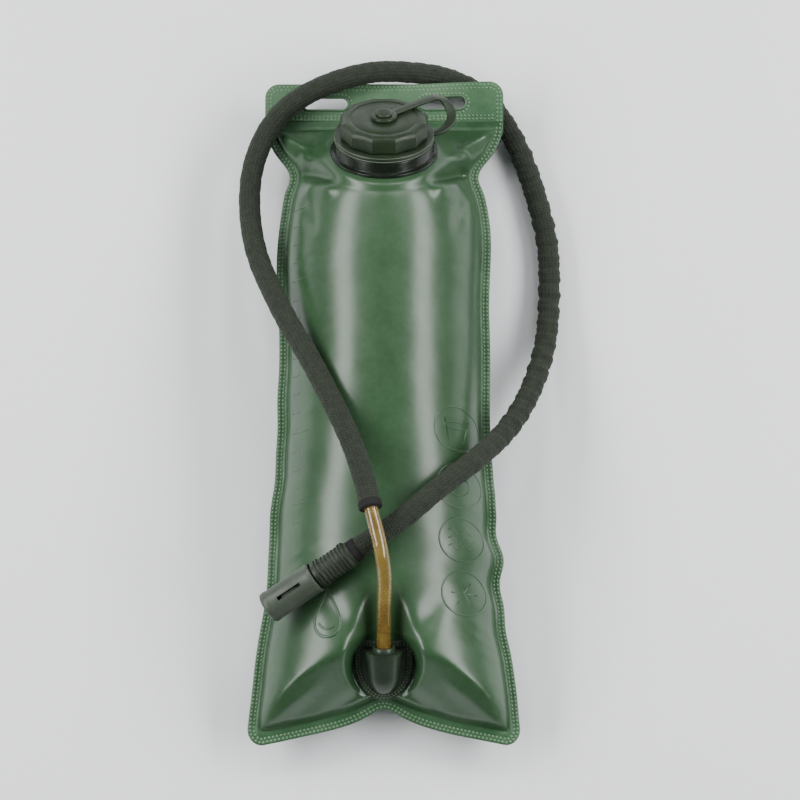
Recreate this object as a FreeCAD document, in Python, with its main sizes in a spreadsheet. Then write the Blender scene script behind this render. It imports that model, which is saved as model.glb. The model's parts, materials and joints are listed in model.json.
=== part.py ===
"""Three-litre hydration bladder: a welded film reservoir with a screw filler cap on a tether, a
hooded outlet, and a sleeved drink tube that ends in a bite valve with a pull-off dust cover.

The bladder lies on its back.  +Z is up, out of the front film; +Y runs towards the hanging tab and
+X to the right of someone who looks at the front.  The origin is on the floor under the middle."""
import FreeCAD, Part
import math
import os
import Sketcher

V = FreeCAD.Vector
doc = FreeCAD.newDocument("hydration_bladder")

# ------------------------------------------------------------------------------- driving sizes, mm
SIZES = [
    # reservoir; the foot widens and its middle is drawn up, the sides pull in below the tab
    ("bag_length", 427), ("tab_half_width", 76), ("pinch_half_width", 60), ("pinch_from_top", 61),
    ("waist_half_width", 67), ("waist_top", 60), ("waist_foot", 0), ("foot_half_width", 85.3),
    ("foot_rise", 23), ("foot_corner", 9), ("rim_level", 22), ("crest_height", 56),
    ("foot_crest_height", 48), ("back_depth", 27), ("film_wall", 0.8), ("weld_width", 6.5),
    ("tab_depth", 24.5), ("tab_corner", 9), ("port_seat_margin", 1.5), ("outlet_seat_margin", 2),
    # slots in the tab
    ("slot_length", 28), ("slot_width", 7), ("slot_spacing", 75), ("slot_from_top", 13),
    # filler: its seat on the film, then heights along its own axis
    ("port_from_top", 52), ("port_level", 52), ("port_tilt", 46.2), ("flange_radius", 34),
    ("flange_thick", 2), ("step_radius", 31.5), ("step_height", 9), ("step_wall", 2.5),
    ("neck_bore", 22.2), ("neck_wall", 2), ("neck_height", 20), ("thread_lead", 4),
    ("thread_depth", 1.2), ("thread_root", 2), ("thread_crest", 1), ("thread_turns", 1),
    ("cap_thread_turns", 0.7), ("thread_start", 14.2),
    # cap and tether
    ("cap_radius", 28.5), ("cap_facets", 12), ("facet_depth", 0.9), ("cap_skirt", 13.4),
    ("cap_top", 24.6), ("cap_roof", 2.6), ("cap_bevel", 1.4),
    ("gasket_width", 3), ("tether_ring_thick", 4), ("eyelet_radius", 8.3), ("eyelet_thick", 2.2),
    ("strap_width", 6), ("strap_thick", 2), ("strap_reach", 48),
    ("button_post", 3), ("button_head", 5.2), ("button_head_thick", 1.6), ("button_seat", 1),
    # outlet: its seat on the film, then lengths along its own plate
    ("outlet_from_foot", 45), ("outlet_level", 42), ("outlet_tilt", 30), ("shield_width", 37),
    ("shield_length", 41), ("shield_thick", 2), ("hood_width", 23), ("hood_nose", 9),
    ("hood_length", 29), ("hood_mouth", 14), ("tube_height", 9.2), ("barb_bore", 2),
    ("barb_radius", 3.2), ("barb_depth", 14), ("barb_reach", 24), ("barb_ridge", 0.5),
    ("duct_radius", 3), ("collar_radius", 7), ("collar_length", 4), ("o_ring_section", 1.2),
    # hose, with the sleeve's two ends counted along the route
    ("tube_radius", 4.5), ("tube_bore", 3.2), ("sleeve_radius", 7), ("sleeve_gap", 0.1),
    ("sleeve_start", 96), ("hem_length", 5), ("hem_proud", 0.5),
    # valve: lengths along its axis
    ("stem_radius", 3.2), ("stem_reach", 14), ("stem_core", 5.5), ("grip_radius", 8.5),
    ("grip_length", 27.6), ("grip_ring_width", 1.6), ("grip_ring_proud", 0.7), ("grip_rings", 2),
    ("nose_radius", 4), ("nose_length", 12), ("bite_radius", 7.6), ("bite_length", 27),
    ("bite_wall", 1.6), ("bite_disc_thick", 1.4), ("cover_radius", 10.15), ("cover_length", 37),
    ("cover_wall", 1.3), ("cover_slot_width", 2.4), ("cover_slot_length", 17),
    # fits
    ("running_gap", 0.3), ("seal_gap", 0.1),
]
sheet = doc.addObject("Spreadsheet::Sheet", "sizes")
for row, (alias, value) in enumerate(SIZES, start=1):
    sheet.set(f"A{row}", alias)
    sheet.set(f"B{row}", str(value))
    sheet.setAlias(f"B{row}", alias)
doc.recompute()
size = {alias: float(getattr(sheet, alias)) for alias, _ in SIZES}


def sized(text):
    """An expression on bare size names, with the spreadsheet's name put before each of them."""
    words = []
    for word in text.replace("(", " ( ").replace(")", " ) ").split():
        words.append("sizes." + word if word in size else word)
    return " ".join(words)


def worth(text):
    """The number that such an expression has now."""
    return float(sheet.evalExpression(sized(text)))


# ------------------------------------------------------------------------------------ local frames
half_length = size["bag_length"] / 2
port_seat = FreeCAD.Placement(
    V(0, half_length - size["port_from_top"], size["port_level"]),
    FreeCAD.Rotation(V(1, 0, 0), -size["port_tilt"]))
outlet_seat = FreeCAD.Placement(
    V(0, size["outlet_from_foot"] - half_length, size["outlet_level"]),
    FreeCAD.Rotation(V(1, 0, 0), size["outlet_tilt"]))


# ------------------------------------------------------------------------- sketch and body helpers
def new_body(name, placement=None):
    """A PartDesign body labelled with its node's name."""
    body = doc.addObject("PartDesign::Body", name)
    body.Label = name
    if placement is not None:
        body.Placement = placement
    return body


def new_sketch(body, name, role, lift="0"):
    """A sketch on one of the body's own origin planes, lifted along the plane's normal."""
    sketch = body.newObject("Sketcher::SketchObject", name)
    base = next(f for f in body.Origin.OriginFeatures if f.Role == role)
    sketch.AttachmentSupport = [(base, "")]
    sketch.MapMode = "FlatFace"
    sketch.setExpression("AttachmentOffset.Base.z", f"( {sized(lift)} ) * 1 mm")
    return sketch


def bound(sketch, kind, where, text):
    """A dimension in a sketch, bound to an expression on the driving sizes."""
    number = sketch.addConstraint(Sketcher.Constraint(kind, *where, abs(worth(text))))
    sketch.setExpression(f"Constraints[{number}]", f"abs({sized(text)}) * 1 mm")


def place_point(sketch, line, end, across, along):
    """Ties one point of a sketch to its two coordinates."""
    for kind, text, axis in (("DistanceX", across, -2), ("DistanceY", along, -1)):
        if worth(text) == 0:
            sketch.addConstraint(Sketcher.Constraint("PointOnObject", line, end, axis))
            continue
        pair = (-1, 1, line, end) if worth(text) > 0 else (line, end, -1, 1)
        bound(sketch, kind, pair, text)


def polygon(body, name, role, points, lift="0"):
    """A closed outline of straight lines through points given as pairs of expressions."""
    sketch = new_sketch(body, name, role, lift)
    spots = [V(worth(a), worth(b), 0) for a, b in points]
    for start, end in zip(spots, spots[1:] + spots[:1]):
        sketch.addGeometry(Part.LineSegment(start, end), False)
    for number in range(len(spots)):
        after = (number + 1) % len(spots)
        sketch.addConstraint(Sketcher.Constraint("Coincident", number, 2, after, 1))
    for number, (across, along) in enumerate(points):
        place_point(sketch, number, 1, across, along)
    return sketch


def disc(body, name, role, radius, lift="0", centre=("0", "0")):
    """A circle about a point given as a pair of expressions."""
    sketch = new_sketch(body, name, role, lift)
    spot = V(worth(centre[0]), worth(centre[1]), 0)
    sketch.addGeometry(Part.Circle(spot, V(0, 0, 1), worth(radius)), False)
    place_point(sketch, 0, 3, *centre)
    bound(sketch, "Radius", (0,), radius)
    return sketch


def turned(body, name, points, cut=False):
    """Turns a profile of (radius, height) points about the body's Z axis."""
    profile = polygon(body, name + "_profile", "XZ_Plane", points)
    feature = body.newObject("PartDesign::Groove" if cut else "PartDesign::Revolution", name)
    feature.Profile = profile
    feature.ReferenceAxis = (profile, ["V_Axis"])
    feature.Angle = 360
    return feature


def padded(body, name, sketch, length):
    feature = body.newObject("PartDesign::Pad", name)
    feature.Profile = sketch
    feature.setExpression("Length", f"( {sized(length)} ) * 1 mm")
    return feature


def pocketed(body, name, sketch, depth, reverse=False):
    """A pocket, with the volume it takes away printed when it takes none."""
    doc.recompute()
    before = body.Shape.Volume
    feature = body.newObject("PartDesign::Pocket", name)
    feature.Profile = sketch
    feature.Reversed = reverse
    feature.setExpression("Length", f"( {sized(depth)} ) * 1 mm")
    doc.recompute()
    if body.Shape.Volume > before - 0.01:
        raise RuntimeError(f"{name} cuts nothing")
    return feature


def patterned(body, name, feature, count):
    """Repeats a feature round the body's Z axis and makes the pattern the body's tip."""
    axis = next(f for f in body.Origin.OriginFeatures if f.Role == "Z_Axis")
    pattern = body.newObject("PartDesign::PolarPattern", name)
    pattern.Originals = [feature]
    pattern.Axis = (axis, [""])
    pattern.Angle = 360
    pattern.setExpression("Occurrences", sized(count))
    body.Tip = pattern
    return pattern


def threaded(body, name, root_radius, crest_radius, middle, turns):
    """A helical ridge between two radii, on the shared lead, counted from its first turn's middle."""
    root, crest = "thread_root / 2", "thread_crest / 2"
    profile = polygon(body, name + "_profile", "XZ_Plane", [
        (root_radius, f"{middle} - {root}"), (crest_radius, f"{middle} - {crest}"),
        (crest_radius, f"{middle} + {crest}"), (root_radius, f"{middle} + {root}")])
    helix = body.newObject("PartDesign::AdditiveHelix", name)
    helix.Profile = profile
    helix.ReferenceAxis = (profile, ["V_Axis"])
    helix.Mode = "pitch-turns-angle"
    helix.setExpression("Pitch", sized("thread_lead") + " * 1 mm")
    helix.setExpression("Turns", sized(turns))
    return helix


def feature(name, shape):
    """A sub-part whose free form is worked out with Part's own functions."""
    item = doc.addObject("Part::Feature", name)
    item.Label = name
    item.Shape = shape
    return item


# ---------------------------------------------------------------------------------- film reservoir
top_edge = half_length
top_weld = top_edge - size["tab_depth"]
foot_edge = -half_length
chamber_top = top_weld - size["weld_width"]
chamber_foot = foot_edge + size["foot_rise"] + size["weld_width"]
rim = size["rim_level"]


# how much of the foot's extra width the side has gained, at three heights above the foot's corner
FLARE = ((156, 0.19), (92, 0.44), (27, 0.91))


def right_edge():
    """The reservoir's right-hand edge from the top weld to the foot's corner."""
    waist = size["waist_half_width"]
    spread = size["foot_half_width"] - waist
    pinch = top_edge - size["pinch_from_top"]
    points = [
        (size["tab_half_width"], top_weld), (size["tab_half_width"] - 1.5, top_weld - 12),
        (size["pinch_half_width"], pinch), (waist - 0.5, pinch - 28),
        (waist, size["waist_top"]), (waist, size["waist_foot"])]
    points += [(waist + share * spread, foot_edge + height) for height, share in FLARE]
    points += [(size["foot_half_width"], foot_edge + size["foot_corner"] + 1)]
    curve = Part.BSplineCurve()
    curve.interpolate([V(x, y, 0) for x, y in points])
    return curve


edge = right_edge()


def half_width(y):
    """Half the reservoir's width at a place along it."""
    low, high = edge.FirstParameter, edge.LastParameter
    for _ in range(40):
        middle = (low + high) / 2
        if edge.value(middle).y > y:
            low = middle
        else:
            high = middle
    return edge.value(low).x


def eased(share, soft):
    """A share from 0 to 1 whose start is rounded off over a soft length."""
    return (math.hypot(share, soft) - soft) / (math.hypot(1, soft) - soft)


def foot_droop(share):
    """How far the foot's edge has dropped from its drawn-up middle, towards a corner at 1: steep
    beside the middle, then an even slope."""
    share = eased(share, 0.08)
    steep = (1 - math.exp(-share / 0.16)) / (1 - math.exp(-1 / 0.16))
    return size["foot_rise"] * (0.62 * share + 0.38 * steep)


def softer_minimum(*heights):
    """The lowest of some heights, rounded over where two of them meet."""
    blend = 3.5
    least = min(heights)
    return least - blend * math.log(sum(math.exp((least - value) / blend) for value in heights))


def front_crest(y):
    """Height of the filled front wall above the rim on the middle line."""
    ramp = min(1.0, max(0.0, -y / 90))
    body_height = size["crest_height"] + ramp * (size["foot_crest_height"] - size["crest_height"])
    port_drop = (y - port_seat.Base.y) * math.tan(math.radians(size["port_tilt"]))
    outlet_rise = (y - outlet_seat.Base.y) * math.tan(math.radians(size["outlet_tilt"]))
    seats = size["port_level"] - port_drop, size["outlet_level"] + outlet_rise
    return softer_minimum(body_height, seats[0] - rim, seats[1] - rim)


def back_crest(_):
    """Depth of the back wall below the rim; the floor flattens it."""
    return size["back_depth"]


def dome(crest, side, inset):
    """The solid under one filled wall, drawn in by an inset.  The outer wall springs from the
    weld's outer face and the inner one from the rim's plane between the two films."""
    springing = size["film_wall"] - inset
    stations, across = 26, 15
    first = chamber_top - inset
    last = chamber_foot + inset
    grid = []
    for station in range(stations):
        along = (1 - math.cos(math.pi * station / (stations - 1))) / 2
        y_middle = first + (last - first) * along
        near = min(first - y_middle, y_middle - last)
        closing = 1 - math.exp(-near / 6)
        spread = size["foot_rise"] * along ** 6
        width = half_width(y_middle - spread) - size["weld_width"] - inset
        height = max(0.0, crest(y_middle) - inset - springing) * closing
        line = []
        for step in range(across):
            turn = math.pi * (step / (across - 1) - 0.5)
            x = width * math.sin(turn)
            y = y_middle - spread * eased(abs(math.sin(turn)), 0.3)
            rise = springing + height * max(0.0, math.cos(turn)) ** 1.1
            line.append(V(x, y, rim + side * rise))
        grid.append(line)
    wall = Part.BSplineSurface()
    wall.interpolate(grid)
    face = wall.toShape()
    base = Part.Face(Part.Wire(Part.__sortEdges__(face.Edges)))
    solid = Part.Solid(Part.Shell([face, base]))
    if solid.Volume < 0:
        solid.reverse()
    return solid


def one_solid(shape):
    """A boolean's result as the single solid that it holds."""
    return shape.removeSplitter().Solids[0]


def outline_plate(low, high):
    """A flat plate of the reservoir's whole outline between two levels."""
    corner = size["foot_corner"]
    side = edge.value(edge.LastParameter)
    heel = V(side.x - corner, foot_edge, 0)
    bend = corner * (1 - math.sqrt(0.5))
    mirror = [V(-p.x, p.y, 0) for p in (side, heel)]
    foot = Part.BSplineCurve()
    middle = foot_edge + size["foot_rise"]
    right = [V(k * heel.x, middle - foot_droop(k), 0) for k in (1, 0.75, 0.5, 0.3, 0.15, 0.07)]
    left = [V(-p.x, p.y, 0) for p in reversed(right)]
    foot.interpolate(right + [V(0, middle - 1, 0)] + left)
    other = edge.copy()
    other.mirror(V(0, 0, 0), V(0, 1, 0))
    corner_right = Part.Arc(side, V(side.x - bend, foot_edge + bend, 0), heel)
    corner_left = Part.Arc(mirror[1], V(-side.x + bend, foot_edge + bend, 0), mirror[0])
    tab = size["tab_half_width"]
    top = Part.LineSegment(V(-tab, top_weld, 0), V(tab, top_weld, 0))
    edges = [c.toShape() for c in (edge, corner_right, foot, corner_left, other, top)]
    face = Part.Face(Part.Wire(Part.__sortEdges__(edges)))
    face.translate(V(0, 0, low))
    return face.extrude(V(0, 0, high - low))


def standing_disc(placement, radius, low, high):
    """A cylinder on a seat's own axis between two heights."""
    shape = Part.makeCylinder(radius, high - low, V(0, 0, low))
    shape.Placement = placement
    return shape


seats = ((port_seat, size["flange_radius"] + size["port_seat_margin"]),
         (outlet_seat, size["shield_length"] / 2 + size["outlet_seat_margin"]))
seat_below, seat_above = 34, 30  # how far the seats' tools reach into the chamber and out of it
block = 400
above_rim = Part.makeBox(block, 2 * block, block, V(-block / 2, -block, rim))


def front_volume(inset):
    """The front half of the filled chamber, flattened where the filler and the outlet sit."""
    shape = dome(front_crest, 1, inset)
    for seat, radius in seats:
        under = standing_disc(seat, radius - inset, -seat_below, -inset)
        shape = shape.fuse(under.common(above_rim))
        shape = shape.cut(standing_disc(seat, radius + 3, -inset, seat_above))
    return shape


def make_front_film():
    plate = outline_plate(rim, rim + size["film_wall"])
    film = front_volume(0).fuse(plate).cut(front_volume(size["film_wall"]))
    film = film.cut(standing_disc(port_seat, size["step_radius"] - size["step_wall"], -5, 5))
    film = film.cut(standing_disc(outlet_seat, size["duct_radius"], -5, 5))
    return feature("front_film", one_solid(film))


def make_back_film():
    plate = outline_plate(rim - size["film_wall"], rim)
    outer = dome(back_crest, -1, 0)
    inner = dome(back_crest, -1, size["film_wall"])
    floor = Part.makeBox(block, 2 * block, block, V(-block / 2, -block, -block))
    outer = outer.cut(floor)
    floor.translate(V(0, 0, size["film_wall"]))
    inner = inner.cut(floor)
    return feature("back_film", one_solid(outer.fuse(plate).cut(inner)))


front_film = make_front_film()
back_film = make_back_film()


# --------------------------------------------------------------------------------- hanging tab
def make_hanging_tab():
    """Both films welded flat above the chamber, with rounded upper corners and two slots."""
    body = new_body("hanging_tab")
    low = "rim_level - film_wall"
    sketch = new_sketch(body, "tab_outline", "XY_Plane", low)
    wide, tall, corner = size["tab_half_width"], top_edge, size["tab_corner"]
    foot = top_weld
    spots = [V(-wide, foot, 0), V(wide, foot, 0), V(wide, tall - corner, 0), V(wide - corner, tall, 0),
             V(corner - wide, tall, 0), V(-wide, tall - corner, 0)]
    for number in (0, 1, 3, 5):
        after = spots[(number + 1) % 6]
        sketch.addGeometry(Part.LineSegment(spots[number], after), False)
    for sign, start, end in ((1, 0, math.pi / 2), (-1, math.pi / 2, math.pi)):
        middle = V(sign * (wide - corner), tall - corner, 0)
        circle = Part.Circle(middle, V(0, 0, 1), corner)
        sketch.addGeometry(Part.ArcOfCircle(circle, start, end), False)
    for pair in ((0, 2, 1, 1), (3, 2, 0, 1)):
        sketch.addConstraint(Sketcher.Constraint("Coincident", *pair))
    for pair in ((1, 2, 4, 1), (4, 2, 2, 1), (2, 2, 5, 1), (5, 2, 3, 1)):
        sketch.addConstraint(Sketcher.Constraint("Tangent", *pair))
    sketch.addConstraint(Sketcher.Constraint("Equal", 4, 5))
    sketch.addConstraint(Sketcher.Constraint("Horizontal", 2))
    sketch.addConstraint(Sketcher.Constraint("Vertical", 3))
    bound(sketch, "Radius", (4,), "tab_corner")
    place_point(sketch, 0, 1, "0 - tab_half_width", "bag_length / 2 - tab_depth")
    place_point(sketch, 0, 2, "tab_half_width", "bag_length / 2 - tab_depth")
    bound(sketch, "DistanceY", (-1, 1, 2, 1), "bag_length / 2")
    padded(body, "tab_plate", sketch, "2 * film_wall")
    slots = new_sketch(body, "slot_outlines", "XY_Plane", low)
    middle = tall - size["slot_from_top"]
    reach = (size["slot_length"] - size["slot_width"]) / 2
    radius = size["slot_width"] / 2
    for sign in (-1, 1):
        base = slots.GeometryCount
        left = V(sign * size["slot_spacing"] / 2 - reach, middle, 0)
        right = V(sign * size["slot_spacing"] / 2 + reach, middle, 0)
        up, quarter = V(0, radius, 0), math.pi / 2
        round_right = Part.Circle(right, V(0, 0, 1), radius)
        round_left = Part.Circle(left, V(0, 0, 1), radius)
        for piece in (Part.LineSegment(left - up, right - up),
                      Part.ArcOfCircle(round_right, -quarter, quarter),
                      Part.LineSegment(right + up, left + up),
                      Part.ArcOfCircle(round_left, quarter, 3 * quarter)):
            slots.addGeometry(piece, False)
        for first, second in ((1, 2), (3, 0)):
            slots.addConstraint(Sketcher.Constraint("Coincident", base + first, 2, base + second, 1))
        half = "( slot_length - slot_width ) / 2"
        side = "slot_spacing / 2" if sign > 0 else "0 - slot_spacing / 2"
        place_point(slots, base + 1, 3, f"{side} + {half}", "bag_length / 2 - slot_from_top")
        place_point(slots, base + 3, 3, f"{side} - {half}", "bag_length / 2 - slot_from_top")
        bound(slots, "Radius", (base + 1,), "slot_width / 2")
        slots.addConstraint(Sketcher.Constraint("Equal", base + 1, base + 3))
        for line, arc in ((0, 1), (2, 3)):
            slots.addConstraint(Sketcher.Constraint("Tangent", base + line, 2, base + arc, 1))
    pocketed(body, "slots", slots, "3 * film_wall", reverse=True)
    return body


# --------------------------------------------------------------------- filler, cap and tether
neck = "( neck_bore + neck_wall )"
cap_bore = f"( {neck} + thread_depth + running_gap )"
ring_top = "( step_height + tether_ring_thick )"


def make_fill_port():
    """Flange, stepped wall and threaded neck, moulded in one; open below the step."""
    body = new_body("fill_port", port_seat)
    turned(body, "port_wall", [
        ("flange_radius", "0"), ("flange_radius", "flange_thick"), ("step_radius", "flange_thick"),
        ("step_radius", "step_height"), (neck, "step_height"), (neck, "neck_height"),
        ("neck_bore", "neck_height"), ("neck_bore", "0"), (neck, "0"),
        (neck, "step_height - step_wall"), ("step_radius - step_wall", "step_height - step_wall"),
        ("step_radius - step_wall", "0")])
    threaded(body, "neck_thread", f"{neck} - 0.3", f"{neck} + thread_depth", "thread_start",
             "thread_turns")
    return body


def make_tether_ring():
    """A loose ring on the step, with a groove round its rim."""
    body = new_body("tether_ring", port_seat)
    inner = f"{neck} + thread_depth + running_gap"
    low = "step_height"
    turned(body, "ring_wall", [
        (inner, low), ("step_radius", low), ("step_radius", f"{low} + 1.2"),
        ("step_radius - 0.8", f"{low} + 1.6"), ("step_radius - 0.8", f"{low} + 2.4"),
        ("step_radius", f"{low} + 2.8"), ("step_radius", ring_top), (inner, ring_top)])
    return body


def strap_plane(angle, radius, height):
    """A point of the strap's route, from its bearing, reach and height about the filler's axis."""
    turn = math.radians(angle)
    return V(radius * math.cos(turn), radius * math.sin(turn), height)


def make_tether_strap():
    """The flat strap: out of the ring's side, round a loop and back to the eyelet on the cap."""
    lay = size["step_height"] + size["tether_ring_thick"] / 2
    lid = size["cap_top"] + size["running_gap"] + size["eyelet_thick"] / 2
    reach = size["strap_reach"]
    route = [strap_plane(8, size["step_radius"] - 0.4, lay), strap_plane(8, 38, lay + 1),
             strap_plane(16, 45, lay + 4), strap_plane(27, reach, lay + 8),
             strap_plane(37, reach - 3, lid - 0.5), strap_plane(37, reach - 12, lid + 0.6),
             strap_plane(36, 22, lid + 0.3), strap_plane(36, size["eyelet_radius"] - 0.5, lid)]
    spine = Part.BSplineCurve()
    spine.interpolate(route)
    start = spine.value(spine.FirstParameter)
    ahead = spine.tangent(spine.FirstParameter)[0]
    across = ahead.cross(V(0, 0, 1)).normalize() * (size["strap_width"] / 2)
    above = across.cross(ahead).normalize() * (size["strap_thick"] / 2)
    corners = [start + across + above, start - across + above, start - across - above,
               start + across - above]
    section = Part.makePolygon(corners + corners[:1])
    sweep = Part.BRepOffsetAPI.MakePipeShell(Part.Wire(spine.toShape()))
    sweep.setBiNormalMode(V(0, 0, 1))
    sweep.add(section)
    sweep.build()
    sweep.makeSolid()
    strap = sweep.shape()
    ring = Part.makeCylinder(size["step_radius"], size["cap_top"] * 2)
    eye = Part.makeCylinder(size["eyelet_radius"], size["cap_top"] * 2)
    strap = strap.cut(ring.common(Part.makeCylinder(200, worth(ring_top) + 1))).cut(eye)
    item = feature("tether_strap", strap.Solids[0])
    item.Placement = port_seat
    return item


def make_tether_eyelet():
    body = new_body("tether_eyelet", port_seat)
    low = "cap_top + running_gap"
    inner = "button_post + running_gap"
    turned(body, "eyelet_wall", [
        (inner, low), ("eyelet_radius - 0.5", low), ("eyelet_radius", f"{low} + 0.5"),
        ("eyelet_radius", f"{low} + eyelet_thick - 0.5"), ("eyelet_radius - 0.5", f"{low} + eyelet_thick"),
        (inner, f"{low} + eyelet_thick")])
    return body


def make_fill_cap():
    """A twelve-sided cup with an internal thread and a blind seat for the button's post."""
    body = new_body("fill_cap", port_seat)
    ceiling = "cap_top - cap_roof"
    turned(body, "cap_wall", [
        (cap_bore, "cap_skirt"), ("cap_radius", "cap_skirt"), ("cap_radius", "cap_top - cap_bevel"),
        ("cap_radius - cap_bevel", "cap_top"), ("button_post", "cap_top"),
        ("button_post", "cap_top - button_seat"), ("0", "cap_top - button_seat"), ("0", ceiling),
        (cap_bore, ceiling)])
    groove = "cap_radius - facet_depth"
    side = "cap_radius"
    facet = polygon(body, "facet_cut", "XY_Plane", [
        (groove, f"0 - {side}"), ("cap_radius + 2", f"0 - {side}"), ("cap_radius + 2", side),
        (groove, side)], "cap_skirt - 1")
    cut = pocketed(body, "facet", facet, "cap_top", reverse=True)
    patterned(body, "facets", cut, "cap_facets")
    threaded(body, "cap_thread", f"{cap_bore} + 0.3", f"{cap_bore} - thread_depth",
             "thread_start + thread_lead / 2", "cap_thread_turns")
    return body


def make_cap_gasket():
    """The flat seal under the cap's roof; the shut cap holds it a hair above the neck."""
    body = new_body("cap_gasket", port_seat)
    low = "neck_height + seal_gap"
    high = "cap_top - cap_roof"
    turned(body, "gasket_wall", [
        (f"{cap_bore} - thread_depth - gasket_width", low), (f"{cap_bore} - running_gap", low),
        (f"{cap_bore} - running_gap", high), (f"{cap_bore} - thread_depth - gasket_width", high)])
    return body


def make_cap_button():
    """The snap button: a post seated in the cap and a cross-grooved head over the eyelet."""
    body = new_body("cap_button", port_seat)
    foot = "cap_top - button_seat"
    head = "cap_top + eyelet_thick + 2 * running_gap"
    crown = f"{head} + button_head_thick"
    turned(body, "button_turning", [
        ("0", foot), ("button_post", foot), ("button_post", head), ("button_head", head),
        ("button_head", f"{crown} - 0.6"), ("button_head - 0.6", crown), ("0", crown)])
    for name, across, along in (("groove_a", "button_head", "0.35"), ("groove_b", "0.35", "button_head")):
        for shift in (-1, 0, 1):
            move = f"{2.4 * shift}"
            middle = ("0", move) if name == "groove_a" else (move, "0")
            left, right = f"{middle[0]} - {across}", f"{middle[0]} + {across}"
            low, high = f"{middle[1]} - {along}", f"{middle[1]} + {along}"
            outline = polygon(body, f"{name}_{shift + 2}_cut", "XY_Plane",
                              [(left, low), (right, low), (right, high), (left, high)], f"{crown} - 0.4")
            pocketed(body, f"{name}_{shift + 2}", outline, "1", reverse=True)
    return body


# ------------------------------------------------------------------------------------- outlet
hood_root = -size["shield_length"] / 2 + size["hood_nose"] - 3
mouth = hood_root + size["hood_length"]
tube_line = size["tube_height"]


def along_outlet(shape):
    """Turns a shape built along +Z to lie along the outlet's +Y, on the tube's line."""
    shape.rotate(V(0, 0, 0), V(1, 0, 0), -90)
    shape.translate(V(0, 0, tube_line))
    return shape


def rod(radius, low, high):
    return along_outlet(Part.makeCylinder(radius, high - low, V(0, 0, low)))


def tube_piece(outer, inner, low, high):
    return rod(outer, low, high).cut(rod(inner, low - 1, high + 1))


def arch(half, height, y):
    """A D-shaped section of the hood, flat side down, at a place along the outlet."""
    left, crown, right = V(-half, y, 0), V(0, y, height), V(half, y, 0)
    return Part.Wire([Part.Arc(left, crown, right).toShape(), Part.LineSegment(right, left).toShape()])


def shield():
    """The plate: square shoulders at the mouth's end, and sides that round in to a point."""
    half, reach = size["shield_width"] / 2, size["shield_length"] / 2
    shoulder, brow, cheek = V(half, reach - 6, 0), V(half - 5, reach - 0.5, 0), V(half, 0, 0)
    point, left_cheek = V(0, -reach, 0), V(-half, 0, 0)
    left_shoulder, left_brow = V(-shoulder.x, shoulder.y, 0), V(-brow.x, brow.y, 0)
    side, sag = V(0.68 * half, -0.62 * reach, 0), V(half - 1.3, reach - 2, 0)
    edges = [
        Part.Arc(left_brow, V(0, reach - 2, 0), brow), Part.Arc(brow, sag, shoulder),
        Part.LineSegment(shoulder, cheek), Part.Arc(cheek, side, point),
        Part.Arc(point, V(-side.x, side.y, 0), left_cheek),
        Part.LineSegment(left_cheek, left_shoulder),
        Part.Arc(left_shoulder, V(-sag.x, sag.y, 0), left_brow)]
    face = Part.Face(Part.Wire([edge_curve.toShape() for edge_curve in edges]))
    return face.extrude(V(0, 0, size["shield_thick"]))


def make_outlet_base():
    """Shield plate and half-cone hood in one moulding, with the water duct up into the hood."""
    half = size["hood_width"] / 2
    crown = tube_line + size["hood_mouth"] / 2
    sections = [arch(half * 0.45, crown * 0.42, hood_root), arch(half * 0.8, crown * 0.8, hood_root + 7),
                arch(half, crown, mouth - 9), arch(half * 0.93, crown, mouth)]
    hood = Part.makeLoft(sections, True, False)
    shape = shield().fuse(hood)
    duct_end = mouth - size["barb_depth"] - 5
    inlet = V(0, duct_end + size["duct_radius"], -1)
    shape = shape.cut(Part.makeCylinder(size["duct_radius"], tube_line + 1, inlet))
    shape = shape.cut(rod(size["duct_radius"], duct_end, mouth - size["barb_depth"]))
    shape = shape.cut(rod(size["barb_radius"], mouth - size["barb_depth"], mouth + 1))
    section = size["o_ring_section"]
    groove = rod(size["barb_radius"] + section, o_ring_low, o_ring_low + section)
    item = feature("outlet_base", one_solid(shape.cut(groove)))
    item.Placement = outlet_seat
    return item


o_ring_low = mouth - size["barb_depth"] / 2


def barb_stem(radius, bore, low, root, high, ridge, ridges):
    """A hollow stem with sloped ridges beyond its root."""
    stem = rod(radius, low, high)
    pitch = (high - root) / (ridges + 0.5)
    for number in range(ridges):
        foot = root + (number + 0.5) * pitch
        cone = Part.makeCone(radius + ridge, radius, pitch * 0.7, V(0, 0, foot))
        stem = stem.fuse(along_outlet(cone))
    return one_solid(stem.cut(rod(bore, low - 1, high + 1)))


def make_outlet_barb():
    low = mouth - size["barb_depth"]
    item = feature("outlet_barb", barb_stem(size["barb_radius"], size["barb_bore"], low, mouth,
                                            mouth + size["barb_reach"], size["barb_ridge"], 4))
    item.Placement = outlet_seat
    return item


def make_outlet_o_ring():
    ring = tube_piece(size["barb_radius"] + size["o_ring_section"], size["barb_radius"],
                      o_ring_low, o_ring_low + size["o_ring_section"])
    item = feature("outlet_o_ring", ring)
    item.Placement = outlet_seat
    return item


def make_outlet_collar():
    """The ring that clamps the tube's end where it meets the hood."""
    ring = tube_piece(size["collar_radius"], size["tube_radius"], mouth, mouth + size["collar_length"])
    lip = size["collar_length"] / 2
    groove = tube_piece(size["collar_radius"] + 1, size["collar_radius"] - 0.5,
                        mouth + lip - 0.5, mouth + lip + 0.5)
    item = feature("outlet_collar", ring.cut(groove))
    item.Placement = outlet_seat
    return item


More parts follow.
